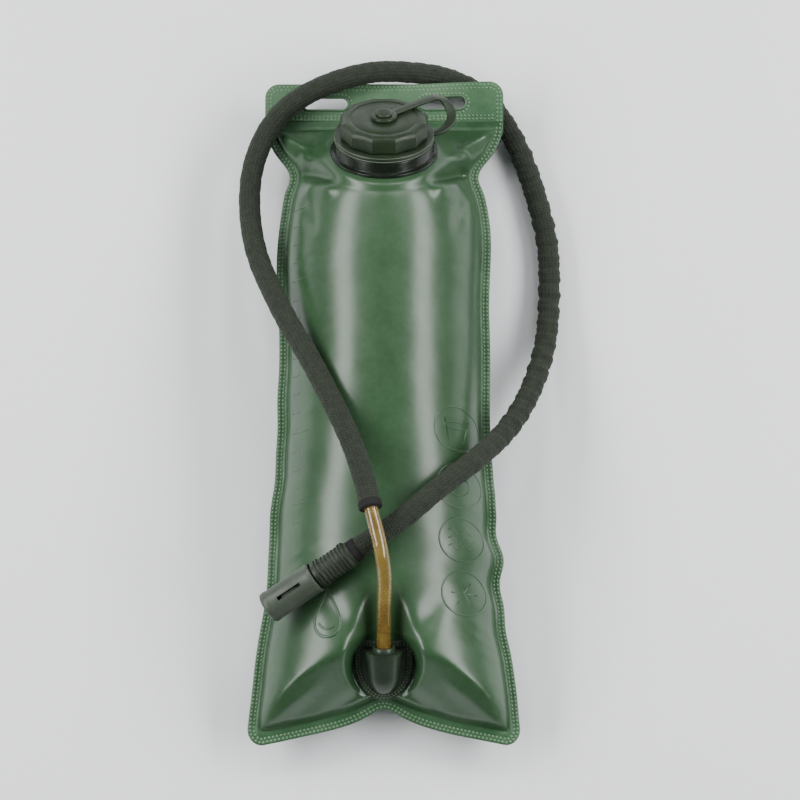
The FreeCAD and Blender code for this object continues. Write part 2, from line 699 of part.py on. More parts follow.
# --------------------------------------------------------------------------------------- hose
tube_exit = outlet_seat.multVec(V(0, mouth, tube_line))
tube_second = outlet_seat.multVec(V(0, mouth + size["barb_reach"] + 5, tube_line))
ROUTE = [
    tube_exit, tube_second,
    # over the valve's end of the hose, where the sleeve starts
    V(1, -120, 84), V(-0.8, -107, 93.5), V(-3.6, -94, 98), V(-7.2, -80.8, 98.5),
    V(-13.5, -49.5, 92.5),
    # down the left side of the chamber and off its edge
    V(-28.5, -13.3, 82.5), V(-46, 23.6, 70), V(-66, 60.1, 53), V(-80.5, 96.1, 38), V(-87, 131.8, 30),
    # over the tab's left corner
    V(-82.5, 164.7, 30.5), V(-67.5, 192, 33.5), V(-42, 209, 34), V(-14, 219, 31.5), V(14, 221.9, 22.5),
    # under its right corner and down to the floor
    V(40, 221.6, 12.2), V(64, 209.6, 7.6), V(81.5, 185.6, 7.2), V(95, 152.6, 7.2),
    V(104, 116.6, 7.2), V(106, 80.6, 7.6),
    # up again over the right side, and across under the bare tube to the valve
    V(103, 46.2, 14), V(93.5, 11.5, 26.5), V(77, -17.8, 42), V(58, -38.6, 60), V(38, -56.9, 75.5),
    V(19, -74.5, 83), V(4.5, -86.5, 85.5), V(-8.5, -94.7, 84.2), V(-19.5, -101.5, 80.6)]


def corner(number):
    """The tangent arc at one corner of the route, and its radius."""
    here, back, ahead = ROUTE[number], ROUTE[number - 1], ROUTE[number + 1]
    into, out = here - back, ahead - here
    trim = 0.45 * min(into.Length, out.Length)
    turn = into.getAngle(out)
    radius = trim / math.tan(turn / 2)
    into.normalize()
    out.normalize()
    start, end = here - into * trim, here + out * trim
    inward = (out - into).normalize()
    centre = here + inward * math.hypot(radius, trim)
    return start, centre - inward * radius, end, radius


def hose_path():
    """Straight runs joined by tangent arcs along the route, as a list of edges."""
    edges, radii, at = [], [], ROUTE[0]
    for number in range(1, len(ROUTE) - 1):
        start, middle, end, radius = corner(number)
        edges.append(Part.LineSegment(at, start).toShape())
        edges.append(Part.Arc(start, middle, end).toShape())
        radii.append(round(radius, 1))
        at = end
    edges.append(Part.LineSegment(at, ROUTE[-1]).toShape())
    print("hose arc radii, mm:", radii)
    return edges


hose_edges = hose_path()
hose_length = sum(e.Length for e in hose_edges)
print("hose length, mm:", round(hose_length, 1))


def stretch(start, end):
    """The edges of the hose's path between two lengths along it."""
    part, at = [], 0.0
    for edge_here in hose_edges:
        low, high = max(start - at, 0.0), min(end - at, edge_here.Length)
        at += edge_here.Length
        if high - low < 0.01:
            continue
        first, last = (edge_here.getParameterByLength(k) for k in (low, high))
        part.append(edge_here.Curve.toShape(first, last))
    return part


def swept(edges, radius):
    """A round solid along a run of edges."""
    first = edges[0]
    start = first.valueAt(first.FirstParameter)
    heading = first.tangentAt(first.FirstParameter)
    section = Part.Wire(Part.makeCircle(radius, start, heading))
    return Part.Wire(edges).makePipeShell([section], True, False)


def hose_tube(name, start, end, outer, inner):
    """A hollow length of the hose, with its volume compared with section times length."""
    edges = stretch(start, end)
    length = end - start
    shape = swept(edges, outer).cut(swept(edges, inner))
    due = math.pi * (outer ** 2 - inner ** 2) * length
    print(name, "volume against section times length:", round(shape.Volume / due, 4))
    return feature(name, one_solid(shape))


# -------------------------------------------------------------------------------------- valve
valve_axis = (ROUTE[-1] - ROUTE[-2]).normalize()
valve_seat = FreeCAD.Placement(ROUTE[-1], FreeCAD.Rotation(V(0, 0, 1), valve_axis))
nose_end = "( grip_length + nose_length )"
bite_end = "( grip_length + bite_length )"
cover_bore = "( cover_radius - cover_wall )"


def make_valve_stem():
    """Barb in the tube's end, core under the grip and nose in the mouthpiece, bored through."""
    body = new_body("valve_stem", valve_seat)
    turned(body, "stem_turning", [
        ("barb_bore", "0 - stem_reach"), ("stem_radius - 0.4", "0 - stem_reach"),
        ("stem_radius", "1 - stem_reach"), ("stem_radius", "0"), ("stem_core", "0"),
        ("stem_core", "grip_length"), ("nose_radius", "grip_length"), ("nose_radius", nose_end),
        ("barb_bore", nose_end)])
    return body


def make_valve_grip():
    """A ribbed sleeve on the core, with raised rings at both ends and a waist by the hose."""
    body = new_body("valve_grip", valve_seat)
    ring, proud = "grip_ring_width", "grip_radius + grip_ring_proud"
    outline = [("stem_core", "0"), ("grip_radius - 1", "0"), ("grip_radius - 1", "2.4")]
    at = "2.4"
    for number in range(int(size["grip_rings"])):
        outline += [(proud, at), (proud, f"{at} + {ring}"), ("grip_radius - 0.4", f"{at} + {ring}")]
        at = f"{at} + {ring} + 0.9"
        outline += [("grip_radius - 0.4", at)]
    ribs = 5
    pitch = f"( grip_length - 4 * {ring} - 6.2 ) / {ribs}"
    for number in range(ribs):
        outline += [("grip_radius", at), ("grip_radius", f"{at} + {pitch} * 0.7"),
                    ("grip_radius - 0.5", f"{at} + {pitch} * 0.7"), ("grip_radius - 0.5", f"{at} + {pitch}")]
        at = f"{at} + {pitch}"
    for low in (f"grip_length - 2 * {ring} - 0.9", f"grip_length - {ring}"):
        outline += [("grip_radius - 0.4", low), (proud, low), (proud, f"{low} + {ring}")]
        if low != f"grip_length - {ring}":
            outline += [("grip_radius - 0.4", f"{low} + {ring}")]
    outline += [("stem_core", "grip_length")]
    turned(body, "grip_turning", outline)
    return body


def make_mouthpiece():
    """A soft cup on the nose, with a slit end to bite and a rim that holds the dust cover."""
    body = new_body("mouthpiece", valve_seat)
    low, rim_radius = "grip_length", f"{cover_bore} - running_gap"
    inner = "bite_radius - bite_wall"
    turned(body, "mouthpiece_turning", [
        ("nose_radius", low), (rim_radius, low), (rim_radius, f"{low} + 3"),
        ("bite_radius", f"{low} + 4"), ("bite_radius - 0.8", f"{low} + 9"),
        ("bite_radius - 0.4", f"{bite_end} - 4"), ("bite_radius - 2.4", bite_end), ("0", bite_end),
        ("0", f"{bite_end} - bite_wall"), (f"{inner} - 2", f"{bite_end} - bite_wall"),
        (f"{inner} - 1", f"{nose_end} + bite_disc_thick"), ("nose_radius", f"{nose_end} + bite_disc_thick")])
    slit = polygon(body, "slit_cut", "XY_Plane", [("0 - 3", "0 - 0.3"), ("3", "0 - 0.3"), ("3", "0.3"),
                                                 ("0 - 3", "0.3")], f"{bite_end} - bite_wall - 1")
    pocketed(body, "slit", slit, "bite_wall + 2", reverse=True)
    return body


def make_bite_disc():
    """The cross-slit diaphragm between the nose and the mouthpiece's chamber."""
    body = new_body("bite_disc", valve_seat)
    outline = disc(body, "disc_outline", "XY_Plane", "nose_radius", nose_end)
    padded(body, "disc_plate", outline, "bite_disc_thick")
    for name, across, along in (("slit_a", "2.2", "0.2"), ("slit_b", "0.2", "2.2")):
        outline = polygon(body, name + "_cut", "XY_Plane", [
            (f"0 - {across}", f"0 - {along}"), (across, f"0 - {along}"), (across, along),
            (f"0 - {across}", along)], f"{nose_end} - 1")
        pocketed(body, name, outline, "bite_disc_thick + 2", reverse=True)
    return body


def make_dust_cover():
    """A blind cup over the mouthpiece, slotted on two sides from its mouth to half its length."""
    body = new_body("dust_cover", valve_seat)
    low = "( grip_length + running_gap )"
    top = "( grip_length + cover_length )"
    turned(body, "cover_turning", [
        (cover_bore, low), ("cover_radius", low), ("cover_radius", f"{top} - 3.4"),
        ("cover_radius - 0.4", f"{top} - 3"), ("cover_radius - 0.4", f"{top} - 1"),
        ("cover_radius - 1.2", top), ("0", top), ("0", f"{top} - 1.6"), (cover_bore, f"{top} - 1.6")])
    half = "cover_slot_width / 2"
    slot = polygon(body, "cover_slot_cut", "XZ_Plane", [
        (f"0 - {half}", f"{low} - 1"), (half, f"{low} - 1"), (half, f"{low} + cover_slot_length"),
        (f"0 - {half}", f"{low} + cover_slot_length")], "0 - cover_radius - 1")
    pocketed(body, "cover_slots", slot, "2 * cover_radius + 2", reverse=True)
    return body


# ---------------------------------------------------------------------------- build and write out
def make_hose():
    hem, start = size["hem_length"], size["sleeve_start"]
    inner, outer = size["tube_radius"] + size["sleeve_gap"], size["sleeve_radius"]
    proud = outer + size["hem_proud"]
    end = hose_length
    return [hose_tube("drink_tube", 0, end, size["tube_radius"], size["tube_bore"]),
            hose_tube("sleeve_end_lower", start, start + hem, proud, inner),
            hose_tube("hose_sleeve", start + hem, end - hem, outer, inner),
            hose_tube("sleeve_end_upper", end - hem, end, proud, inner)]


parts = [front_film, back_film, make_hanging_tab(), make_fill_port(), make_tether_ring(),
         make_tether_strap(), make_tether_eyelet(), make_fill_cap(), make_cap_gasket(),
         make_cap_button(), make_outlet_base(), make_outlet_barb(), make_outlet_o_ring(),
         make_outlet_collar(), make_valve_stem(), make_valve_grip(), make_mouthpiece(),
         make_bite_disc(), make_dust_cover()] + make_hose()
doc.recompute()
for item in doc.Objects:
    if {"Invalid", "Error"} & set(item.State):
        raise RuntimeError(f"{item.Name} failed: {item.State}")
for item in parts:
    if item.Shape.isNull() or not item.Shape.isValid():
        raise RuntimeError(f"{item.Label} has no valid shape")
for item in (front_film, back_film):
    if abs(item.Shape.BoundBox.YMin - foot_edge) > 0.1:
        raise RuntimeError(f"{item.Label} has lost its weld")
os.makedirs("parts", exist_ok=True)
for item in parts:
    item.Shape.exportStep(f"parts/{item.Label}.step")
    print(item.Label, round(item.Shape.Volume), "cubic mm,", len(item.Shape.Solids), "solid")
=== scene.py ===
"""Looks of the three-litre hydration bladder: skins, welds, hose, valve and their finishes."""
import json
import math

import bmesh
import bpy
import numpy as np
from mathutils import Matrix, Vector
from mathutils.bvhtree import BVHTree


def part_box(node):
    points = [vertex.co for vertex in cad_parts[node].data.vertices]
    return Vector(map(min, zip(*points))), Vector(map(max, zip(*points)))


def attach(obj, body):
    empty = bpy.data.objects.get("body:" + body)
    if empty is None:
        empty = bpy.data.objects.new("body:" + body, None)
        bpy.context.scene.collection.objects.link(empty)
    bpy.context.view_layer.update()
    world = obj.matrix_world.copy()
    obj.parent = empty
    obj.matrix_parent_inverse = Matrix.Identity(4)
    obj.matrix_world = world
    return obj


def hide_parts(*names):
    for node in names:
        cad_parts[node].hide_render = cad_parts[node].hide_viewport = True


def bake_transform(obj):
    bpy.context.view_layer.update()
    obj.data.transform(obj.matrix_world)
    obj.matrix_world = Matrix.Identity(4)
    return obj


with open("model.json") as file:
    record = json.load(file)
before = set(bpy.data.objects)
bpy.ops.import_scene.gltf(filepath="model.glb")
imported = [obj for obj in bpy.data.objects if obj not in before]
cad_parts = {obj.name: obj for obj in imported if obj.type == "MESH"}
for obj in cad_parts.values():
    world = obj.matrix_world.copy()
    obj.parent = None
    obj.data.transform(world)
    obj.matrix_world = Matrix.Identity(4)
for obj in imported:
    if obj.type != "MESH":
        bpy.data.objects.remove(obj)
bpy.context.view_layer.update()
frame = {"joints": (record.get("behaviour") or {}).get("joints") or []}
MM = 0.001


# ------------------------------------------------------------------------------ shader arithmetic
class Link:
    """A shader socket that can be reckoned with: each operator adds a Math node."""

    def __init__(self, finish, socket):
        self.finish, self.socket = finish, socket

    def reckon(self, operation, *values):
        return self.finish.node("ShaderNodeMath", {"operation": operation}, dict(enumerate(values)))

    def __add__(self, other): return self.reckon("ADD", self, other)
    def __sub__(self, other): return self.reckon("SUBTRACT", self, other)
    def __mul__(self, other): return self.reckon("MULTIPLY", self, other)
    def __rsub__(self, other): return self.reckon("SUBTRACT", other, self)
    __radd__ = __add__
    __rmul__ = __mul__

    def sine(self): return self.reckon("SINE", self)

    def over(self, low, high):
        """How far the value lies between two numbers, from 0 to 1, eased at both ends."""
        ranges = {"From Min": low, "From Max": high, "Value": self}
        return self.finish.node("ShaderNodeMapRange", {"interpolation_type": "SMOOTHSTEP"}, ranges)


class Finish:
    """A material built one node at a time."""

    def __init__(self, name):
        self.material = bpy.data.materials.new(name)
        self.material.use_nodes = True
        self.tree = self.material.node_tree
        self.tree.nodes.clear()

    def node(self, kind, settings, sockets, output=0):
        made = self.tree.nodes.new(kind)
        for key, value in settings.items():
            setattr(made, key, value)
        for key, value in sockets.items():
            if isinstance(value, Link):
                self.tree.links.new(value.socket, made.inputs[key])
            else:
                made.inputs[key].default_value = value
        return Link(self, made.outputs[output]) if made.outputs else made

    def place(self):
        return self.node("ShaderNodeTexCoord", {}, {}, "Object")

    def uv(self):
        """The two lengths, in millimetres, that a hose or strap carries on its surface."""
        spot = self.node("ShaderNodeUVMap", {"uv_map": "lengths"}, {})
        split = self.node("ShaderNodeSeparateXYZ", {}, {0: spot})
        return split, Link(self, split.socket.node.outputs[1])

    def noise(self, scale, detail=3.0, roughness=0.55):
        sockets = {"Scale": scale, "Detail": detail, "Roughness": roughness, "Vector": self.place()}
        return self.node("ShaderNodeTexNoise", {}, sockets)

    def mix(self, share, first, second):
        sockets = {0: share, 6: (*first, 1) if isinstance(first, tuple) else first,
                   7: (*second, 1) if isinstance(second, tuple) else second}
        return self.node("ShaderNodeMix", {"data_type": "RGBA"}, sockets, 2)

    def bump(self, height, depth, under=None):
        sockets = {"Height": height, "Strength": 1.0, "Distance": depth * MM}
        if under:
            sockets["Normal"] = under
        return self.node("ShaderNodeBump", {}, sockets)

    def close(self, **values):
        """The surface itself; keys are the shader's sockets, with _ for a space."""
        sockets = {key.replace("_", " "): (*v, 1) if isinstance(v, tuple) and len(v) == 3 else v
                   for key, v in values.items()}
        shader = self.node("ShaderNodeBsdfPrincipled", {}, sockets)
        self.node("ShaderNodeOutputMaterial", {}, {"Surface": shader})
        return self.material


def worn(finish, dark, light, scale=35.0):
    """A colour that drifts between two tones, with finer mottling on top."""
    drift = finish.noise(scale).over(0.3, 0.7)
    fine = finish.noise(scale * 14, 2.0).over(0.35, 0.7)
    return finish.mix(drift * 0.7 + fine * 0.3, dark, light)


def film_finish():
    """Satin welded film: clouded green, with a fine pebble and a soft top gloss."""
    finish = Finish("film_satin_green")
    colour = worn(finish, (0.019, 0.055, 0.020), (0.032, 0.076, 0.034), 22.0)
    pebble = finish.noise(1500.0, 2.0)
    swell = finish.noise(60.0, 1.0)
    normal = finish.bump(pebble, 0.006, finish.bump(swell, 0.15))
    rough = finish.noise(90.0).over(0.2, 0.8) * 0.05 + 0.29
    return finish.close(Base_Color=colour, Roughness=rough, Normal=normal, Coat_Weight=0.08,
                        Coat_Roughness=0.2, Specular_IOR_Level=0.5)


def tab_finish(name="tab_satin_green", dark=(0.040, 0.100, 0.046), light=(0.070, 0.145, 0.074)):
    """The double film where it is welded flat: paler, with a fine crosshatch from the press."""
    finish = Finish(name)
    colour = worn(finish, dark, light, 40.0)
    grain = finish.noise(900.0, 2.0)
    swell = finish.noise(70.0, 2.0)
    normal = finish.bump(grain, 0.05, finish.bump(swell, 0.7))
    rough = finish.noise(120.0).over(0.2, 0.8) * 0.12 + 0.36
    return finish.close(Base_Color=colour, Roughness=rough, Normal=normal, Coat_Weight=0.08,
                        Coat_Roughness=0.25, Specular_IOR_Level=0.4)


def moulded_finish(name, dark, light, rough, grain=0.03, coat=0.0):
    """Injection-moulded plastic: faint flow clouds, a spark-eroded grain and rubbed patches."""
    finish = Finish(name)
    colour = worn(finish, dark, light, 60.0)
    pits = finish.noise(2600.0, 2.0)
    swell = finish.noise(140.0, 2.0)
    normal = finish.bump(pits, grain, finish.bump(swell, 0.12))
    rubbed = finish.noise(110.0).over(0.3, 0.75)
    return finish.close(Base_Color=colour, Roughness=rubbed * 0.14 + rough, Normal=normal,
                        Coat_Weight=coat, Coat_Roughness=0.15, Specular_IOR_Level=0.32)


def knit_finish():
    """The hose's knitted sleeve: rows of small slanted stitches that follow the hose."""
    finish = Finish("sleeve_knit")
    round_hose, along = finish.uv()
    leaning = (round_hose * 2.6 + (along * 2.4).sine() * 0.9).sine()
    rows = (along * 3.6 + (round_hose * 2.6).sine() * 1.1).sine()
    stitch = leaning * 0.5 + rows * 0.5
    fuzz = finish.noise(1400.0, 4.0, 0.7)
    mottle = finish.noise(260.0, 3.0).over(0.3, 0.7)
    share = stitch * 0.28 + mottle * 0.45 + 0.12
    colour = finish.mix(share, (0.004, 0.008, 0.003), (0.018, 0.027, 0.013))
    normal = finish.bump(stitch * 0.6 + fuzz * 0.8, 0.45, finish.bump(finish.noise(120.0), 1.2))
    return finish.close(Base_Color=colour, Roughness=0.88, Normal=normal, Sheen_Weight=0.08,
                        Sheen_Roughness=0.5, Sheen_Tint=(0.35, 0.40, 0.30))


def tube_finish():
    """Clear amber tube wall: hazed a little and unevenly tinted."""
    finish = Finish("tube_clear_amber")
    tint = finish.noise(90.0, 2.0).over(0.3, 0.7)
    colour = finish.mix(tint, (0.17, 0.10, 0.012), (0.30, 0.20, 0.035))
    normal = finish.bump(finish.noise(70.0, 1.0), 0.04)
    gloss = finish.noise(200.0).over(0.2, 0.8) * 0.03 + 0.05
    return finish.close(Base_Color=colour, Roughness=gloss, Normal=normal, Alpha=0.5, IOR=1.5,
                        Specular_IOR_Level=1.0, Coat_Weight=1.0, Coat_Roughness=0.03)


def floor_finish():
    finish = Finish("studio_floor")
    colour = finish.mix(finish.noise(3.0, 2.0), (0.80, 0.81, 0.83), (0.84, 0.85, 0.87))
    return finish.close(Base_Color=colour, Roughness=0.55)


FILM = film_finish()
TAB = tab_finish()
STUD = tab_finish("stud_green", (0.070, 0.150, 0.074), (0.125, 0.220, 0.125))
WELD = tab_finish("weld_green", (0.018, 0.062, 0.022), (0.040, 0.100, 0.044))
PORT = moulded_finish("port_dark_green", (0.003, 0.006, 0.003), (0.006, 0.011, 0.005), 0.22, 0.01, 0.04)
CAP = moulded_finish("cap_olive", (0.010, 0.019, 0.008), (0.018, 0.030, 0.014), 0.36, 0.04)
TETHER = moulded_finish("tether_olive", (0.012, 0.021, 0.010), (0.020, 0.031, 0.016), 0.36, 0.03)
# painted highlight: a pale olive for the two thin rings that stand in for glints on the trim ring's edges
RING_HIGHLIGHT_PAINT = moulded_finish("ring_painted_highlight_olive", (0.075, 0.095, 0.070), (0.105, 0.130, 0.095), 0.3, 0.01)
OUTLET = moulded_finish("outlet_dark_green", (0.012, 0.022, 0.012), (0.020, 0.034, 0.019), 0.30, 0.02, 0.12)
# painted highlight: the knurl dots are the shield's own plastic, given a paler tone that stands in for light
# caught on their raised tops
KNURL_PAINTED_LIGHT = moulded_finish("outlet_knurl_painted_highlight_green", (0.030, 0.050, 0.028), (0.050, 0.075, 0.046), 0.4, 0.03)
BARB = moulded_finish("barb_black_green", (0.006, 0.010, 0.006), (0.012, 0.018, 0.010), 0.3)
SEAL = moulded_finish("seal_rubber", (0.006, 0.006, 0.006), (0.014, 0.014, 0.013), 0.55)
GRIP = moulded_finish("grip_charcoal", (0.011, 0.017, 0.009), (0.021, 0.030, 0.017), 0.42, 0.05)
COVER = moulded_finish("cover_grey_green", (0.036, 0.048, 0.034), (0.056, 0.070, 0.052), 0.38, 0.05)
SILICONE = moulded_finish("bite_silicone", (0.05, 0.07, 0.05), (0.08, 0.10, 0.08), 0.5)
KNIT = knit_finish()
HEM = moulded_finish("hem_black", (0.004, 0.004, 0.004), (0.012, 0.012, 0.011), 0.8, 0.2)
TUBE = tube_finish()


# ------------------------------------------------------------------------------------ mesh makers
def piece_from(name, points, faces, material, body="root", flat_uv=None):
    """A mesh piece from points in millimetres, riding on a body."""
    mesh = bpy.data.meshes.new(name)
    mesh.from_pydata((np.asarray(points, float) * MM).tolist(), [], faces)
    if flat_uv is not None:
        layer = mesh.uv_layers.new(name="lengths")
        layer.data.foreach_set("uv", np.asarray(flat_uv, np.float32).ravel())
    mesh.validate()
    mesh.update()
    piece = bpy.data.objects.new(name, mesh)
    bpy.context.scene.collection.objects.link(piece)
    piece.data.materials.append(material)
    mesh.polygons.foreach_set("use_smooth", [True] * len(mesh.polygons))
    if body:
        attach(piece, body)
    return piece


def settle(piece, *modifiers):
    """Adds modifiers, given as (type, settings), and applies them to the mesh."""
    for kind, settings in modifiers:
        modifier = piece.modifiers.new(kind.lower(), kind)
        for key, value in settings.items():
            setattr(modifier, key, value)
    graph = bpy.context.evaluated_depsgraph_get()
    done = bpy.data.meshes.new_from_object(piece.evaluated_get(graph))
    old = piece.data
    piece.modifiers.clear()
    piece.data = done
    done.name = old.name
    bpy.data.meshes.remove(old)
    return piece


def weld_bevel(width, segments=2, angle=35):
    return ("BEVEL", {"width": width * MM, "segments": segments, "limit_method": "ANGLE",
                      "angle_limit": math.radians(angle), "harden_normals": False})


def keep_creases(piece, angle=40):
    """Smooth shading that still breaks at sharp edges."""
    piece.data.polygons.foreach_set("use_smooth", [True] * len(piece.data.polygons))
    piece.data.set_sharp_from_angle(angle=math.radians(angle))
    return piece


def ring_faces(rows, count):
    """Four-cornered faces that join each ring of count points to the next."""
    faces = []
    for row in range(rows - 1):
        for k in range(count):
            nxt = (k + 1) % count
            faces.append((row * count + k, row * count + nxt, (row + 1) * count + nxt, (row + 1) * count + k))
    return faces


def lathe(name, profile, seat, material, body="root", turns=96, bevel=0.25, facets=None):
    """Turns a closed (radius, height) profile about a seat's own Z axis.  facets may trim each
    point's radius by its bearing."""
    points, faces = [], []
    count = len(profile)
    for step in range(turns):
        angle = 2 * math.pi * step / turns
        for radius, height in profile:
            r = facets(radius, height, angle) if facets else radius
            points.append(seat @ Vector((r * math.cos(angle), r * math.sin(angle), height)))
    for step in range(turns):
        after = (step + 1) % turns
        for k in range(count):
            nxt = (k + 1) % count
            faces.append((step * count + k, after * count + k, after * count + nxt, step * count + nxt))
    piece = piece_from(name, [tuple(p) for p in points], faces, material, body)
    settle(piece, ("WELD", {"merge_threshold": 0.005 * MM}))
    if bevel:
        settle(piece, weld_bevel(bevel))
    return keep_creases(piece)


def smoothstep(low, high, value):
    k = np.clip((np.asarray(value, float) - low) / (high - low), 0, 1)
    return k * k * (3 - 2 * k)


def through(knots, at):
    """A smooth curve through (place, value) knots, read at a place."""
    xs, ys = (np.array(c, float) for c in zip(*sorted(knots)))
    slopes = np.gradient(ys, xs)
    at = np.clip(np.asarray(at, float), xs[0], xs[-1])
    i = np.clip(np.searchsorted(xs, at) - 1, 0, len(xs) - 2)
    gap = xs[i + 1] - xs[i]
    k = (at - xs[i]) / gap
    return ((1 + 2 * k) * (1 - k) ** 2 * ys[i] + k * (1 - k) ** 2 * gap * slopes[i]
            + k * k * (3 - 2 * k) * ys[i + 1] + k * k * (k - 1) * gap * slopes[i + 1])


# ------------------------------------------------------------------------------- places, from CAD
def box_mm(node):
    low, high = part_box(node)
    return [v / MM for v in low], [v / MM for v in high]


film_low, film_high = box_mm("front_film")
tab_low, tab_high = box_mm("hanging_tab")
RIM = (tab_low[2] + tab_high[2]) / 2
TOP_EDGE, TOP_WELD = tab_high[1], tab_low[1]
FOOT = film_low[1]
FOOT_HALF, TAB_HALF = film_high[0], tab_high[0]
CREST = film_high[2]
WELD_BAND = 6.5
WAIST_HALF, PINCH_HALF = 67.0, 60.0
PINCH_Y = TOP_EDGE - 61
FOOT_RISE, FOOT_CORNER = 23.0, 9.0
OUTLET_AT = Vector((0, FOOT + 45, 42))
OUTLET_TILT = math.radians(30)
cap_turn = next(j for j in frame["joints"] if j["name"] == "cap_turn")
PORT_AT = Vector(cap_turn["pos_m"]) / MM
PORT_AXIS = Vector(cap_turn["axis"]).normalized()
PORT_TILT = math.acos(PORT_AXIS.z)
port_seat = Matrix.Translation(PORT_AT) @ Matrix.Rotation(-PORT_TILT, 4, "X")
outlet_seat = Matrix.Translation(OUTLET_AT) @ Matrix.Rotation(OUTLET_TILT, 4, "X")
pull = next(j for j in frame["joints"] if j["name"] == "dust_cover_pull")
VALVE_AXIS = Vector(pull["axis"]).normalized()


# --------------------------------------------------------------------------------------- outline
def edge_half(y, side):
    """Half the outline's width at y; each side has ripples of its own where it is slack."""
    spread = FOOT_HALF - WAIST_HALF
    knots = [(TOP_WELD, TAB_HALF), (TOP_WELD - 9, TAB_HALF - 1.0), (TOP_WELD - 19, TAB_HALF - 5),
             (PINCH_Y, PINCH_HALF), (PINCH_Y - 12, PINCH_HALF + 3.5), (PINCH_Y - 28, WAIST_HALF - 0.5),
             (60, WAIST_HALF), (0, WAIST_HALF), (FOOT + 156, WAIST_HALF + 0.19 * spread),
             (FOOT + 92, WAIST_HALF + 0.44 * spread), (FOOT + 27, WAIST_HALF + 0.91 * spread),
             (FOOT + 10, FOOT_HALF)]
    width = through(knots, y)
    y = np.asarray(y, float)
    if side > 0:
        slack = np.exp(-((y + 98) / 42) ** 2)
        ripple = 1.5 * np.sin(y / 5.3 + 0.6) * slack + 0.8 * np.sin(y / 9.1) * slack
        ripple = ripple - 1.0 * np.exp(-((y + 62) / 7) ** 2) + 0.5 * np.sin(y / 17)
    else:
        ripple = 0.55 * np.sin(y / 12.5 + 1.2) + 0.35 * np.sin(y / 5.9) * np.exp(-((y + 40) / 60) ** 2)
    return width + ripple * smoothstep(TOP_WELD - 20, TOP_WELD - 60, y) * smoothstep(FOOT + 12, FOOT + 50, y)


def eased(share, soft):
    """A share from 0 to 1 whose start is rounded off over a soft length."""
    return (np.hypot(share, soft) - soft) / (math.hypot(1, soft) - soft)


def foot_line(k):
    """The foot's edge for k from -1 to 1 across it: steep beside its drawn-up middle, then even."""
    share = eased(np.abs(k), 0.08)
    steep = (1 - np.exp(-share / 0.16)) / (1 - math.exp(-1 / 0.16))
    return FOOT + FOOT_RISE * (1 - 0.62 * share - 0.38 * steep)


# ---------------------------------------------------------------------------------- chamber skins
def ridge(x, y, start, end, width, height):
    """A fold along a line: full height at its start, dying away towards its end and its flanks."""
    (x0, y0), (x1, y1) = start, end
    length = math.hypot(x1 - x0, y1 - y0)
    ux, uy = (x1 - x0) / length, (y1 - y0) / length
    along = ((x - x0) * ux + (y - y0) * uy) / length
    off = (x - x0) * uy - (y - y0) * ux
    reach = smoothstep(-0.18, 0.12, along) * (1 - smoothstep(0.55, 1.12, along))
    return height * reach * np.exp(-(off / width) ** 2)


def lower_of(first, second, blend):
    """The lower of two surfaces, rounded over where they meet."""
    least = np.minimum(first, second)
    return least - blend * np.log(np.exp((least - first) / blend) + np.exp((least - second) / blend))


def crest_height(y):
    """The front's height above the rim on the middle line, before the seats flatten it."""
    body = (CREST - RIM) * (1 - 0.13 * smoothstep(10, -90, y))
    port = PORT_AT.z - (y - PORT_AT.y) * math.tan(PORT_TILT) - RIM
    return lower_of(body, port, 4.0)


def end_face(x, y):
    """The steep face below each lobe at the foot, from the ridge down to the weld."""
    return 0.247 * np.abs(x) + 1.268 * (y - FOOT) - 4.0


def seat_pull(x, y, z, centre, tilt, inner, outer, sink):
    """Draws the skin onto a tilted seat inside one radius, and lets it go again by another."""
    slope = (y - centre.y) / math.cos(tilt)
    reach = np.hypot(x, slope)
    level = centre.z - (y - centre.y) * math.tan(tilt) - sink
    return z + (level - z) * (1 - smoothstep(inner, outer, reach))


def hold_noise(x, y, seed):
    """Slow unevenness, from a few crossing waves."""
    chance = np.random.RandomState(seed)
    total = np.zeros_like(x)
    for _ in range(9):
        angle, length = chance.uniform(0, math.pi), chance.uniform(22, 70)
        along = x * math.cos(angle) + y * math.sin(angle)
        total += np.sin(along * 2 * math.pi / length + chance.uniform(0, 6))
    return total / 9


ROWS, COLUMNS = 420, 150


def chamber_grid():
    """The plan of a wall: a grid of places, with how far each row lies from the chamber's ends."""
    t = np.linspace(-1, 1, COLUMNS)[None, :]
    v = np.linspace(0, 1, ROWS)[:, None]
    v = v - 0.035 * np.sin(2 * math.pi * v)
    turn = t * math.pi / 2
    top = TOP_WELD - 4.2
    foot_middle = FOOT + FOOT_RISE + WELD_BAND
    y_middle = top + (foot_middle - top) * v
    across = np.abs(np.sin(turn))
    share = eased(across, 0.10)
    lobed = 0.62 * share + 0.38 * (1 - np.exp(-share / 0.20))
    droop = (FOOT_RISE - 0.5) * v ** 5
    y = y_middle - droop * (lobed + (across ** 2 - lobed) * (1 - v ** 4))
    left = edge_half(y_middle - droop, -1) - WELD_BAND
    right = edge_half(y_middle - droop, 1) - WELD_BAND
    corner = 1.5 * smoothstep(10, 0, y_middle - foot_middle)
    x = np.where(t < 0, (left - corner) * np.sin(turn), (right - corner) * np.sin(turn))
    near_end = np.minimum(top - y_middle, y_middle - foot_middle)
    return x, y, turn, near_end, y_middle


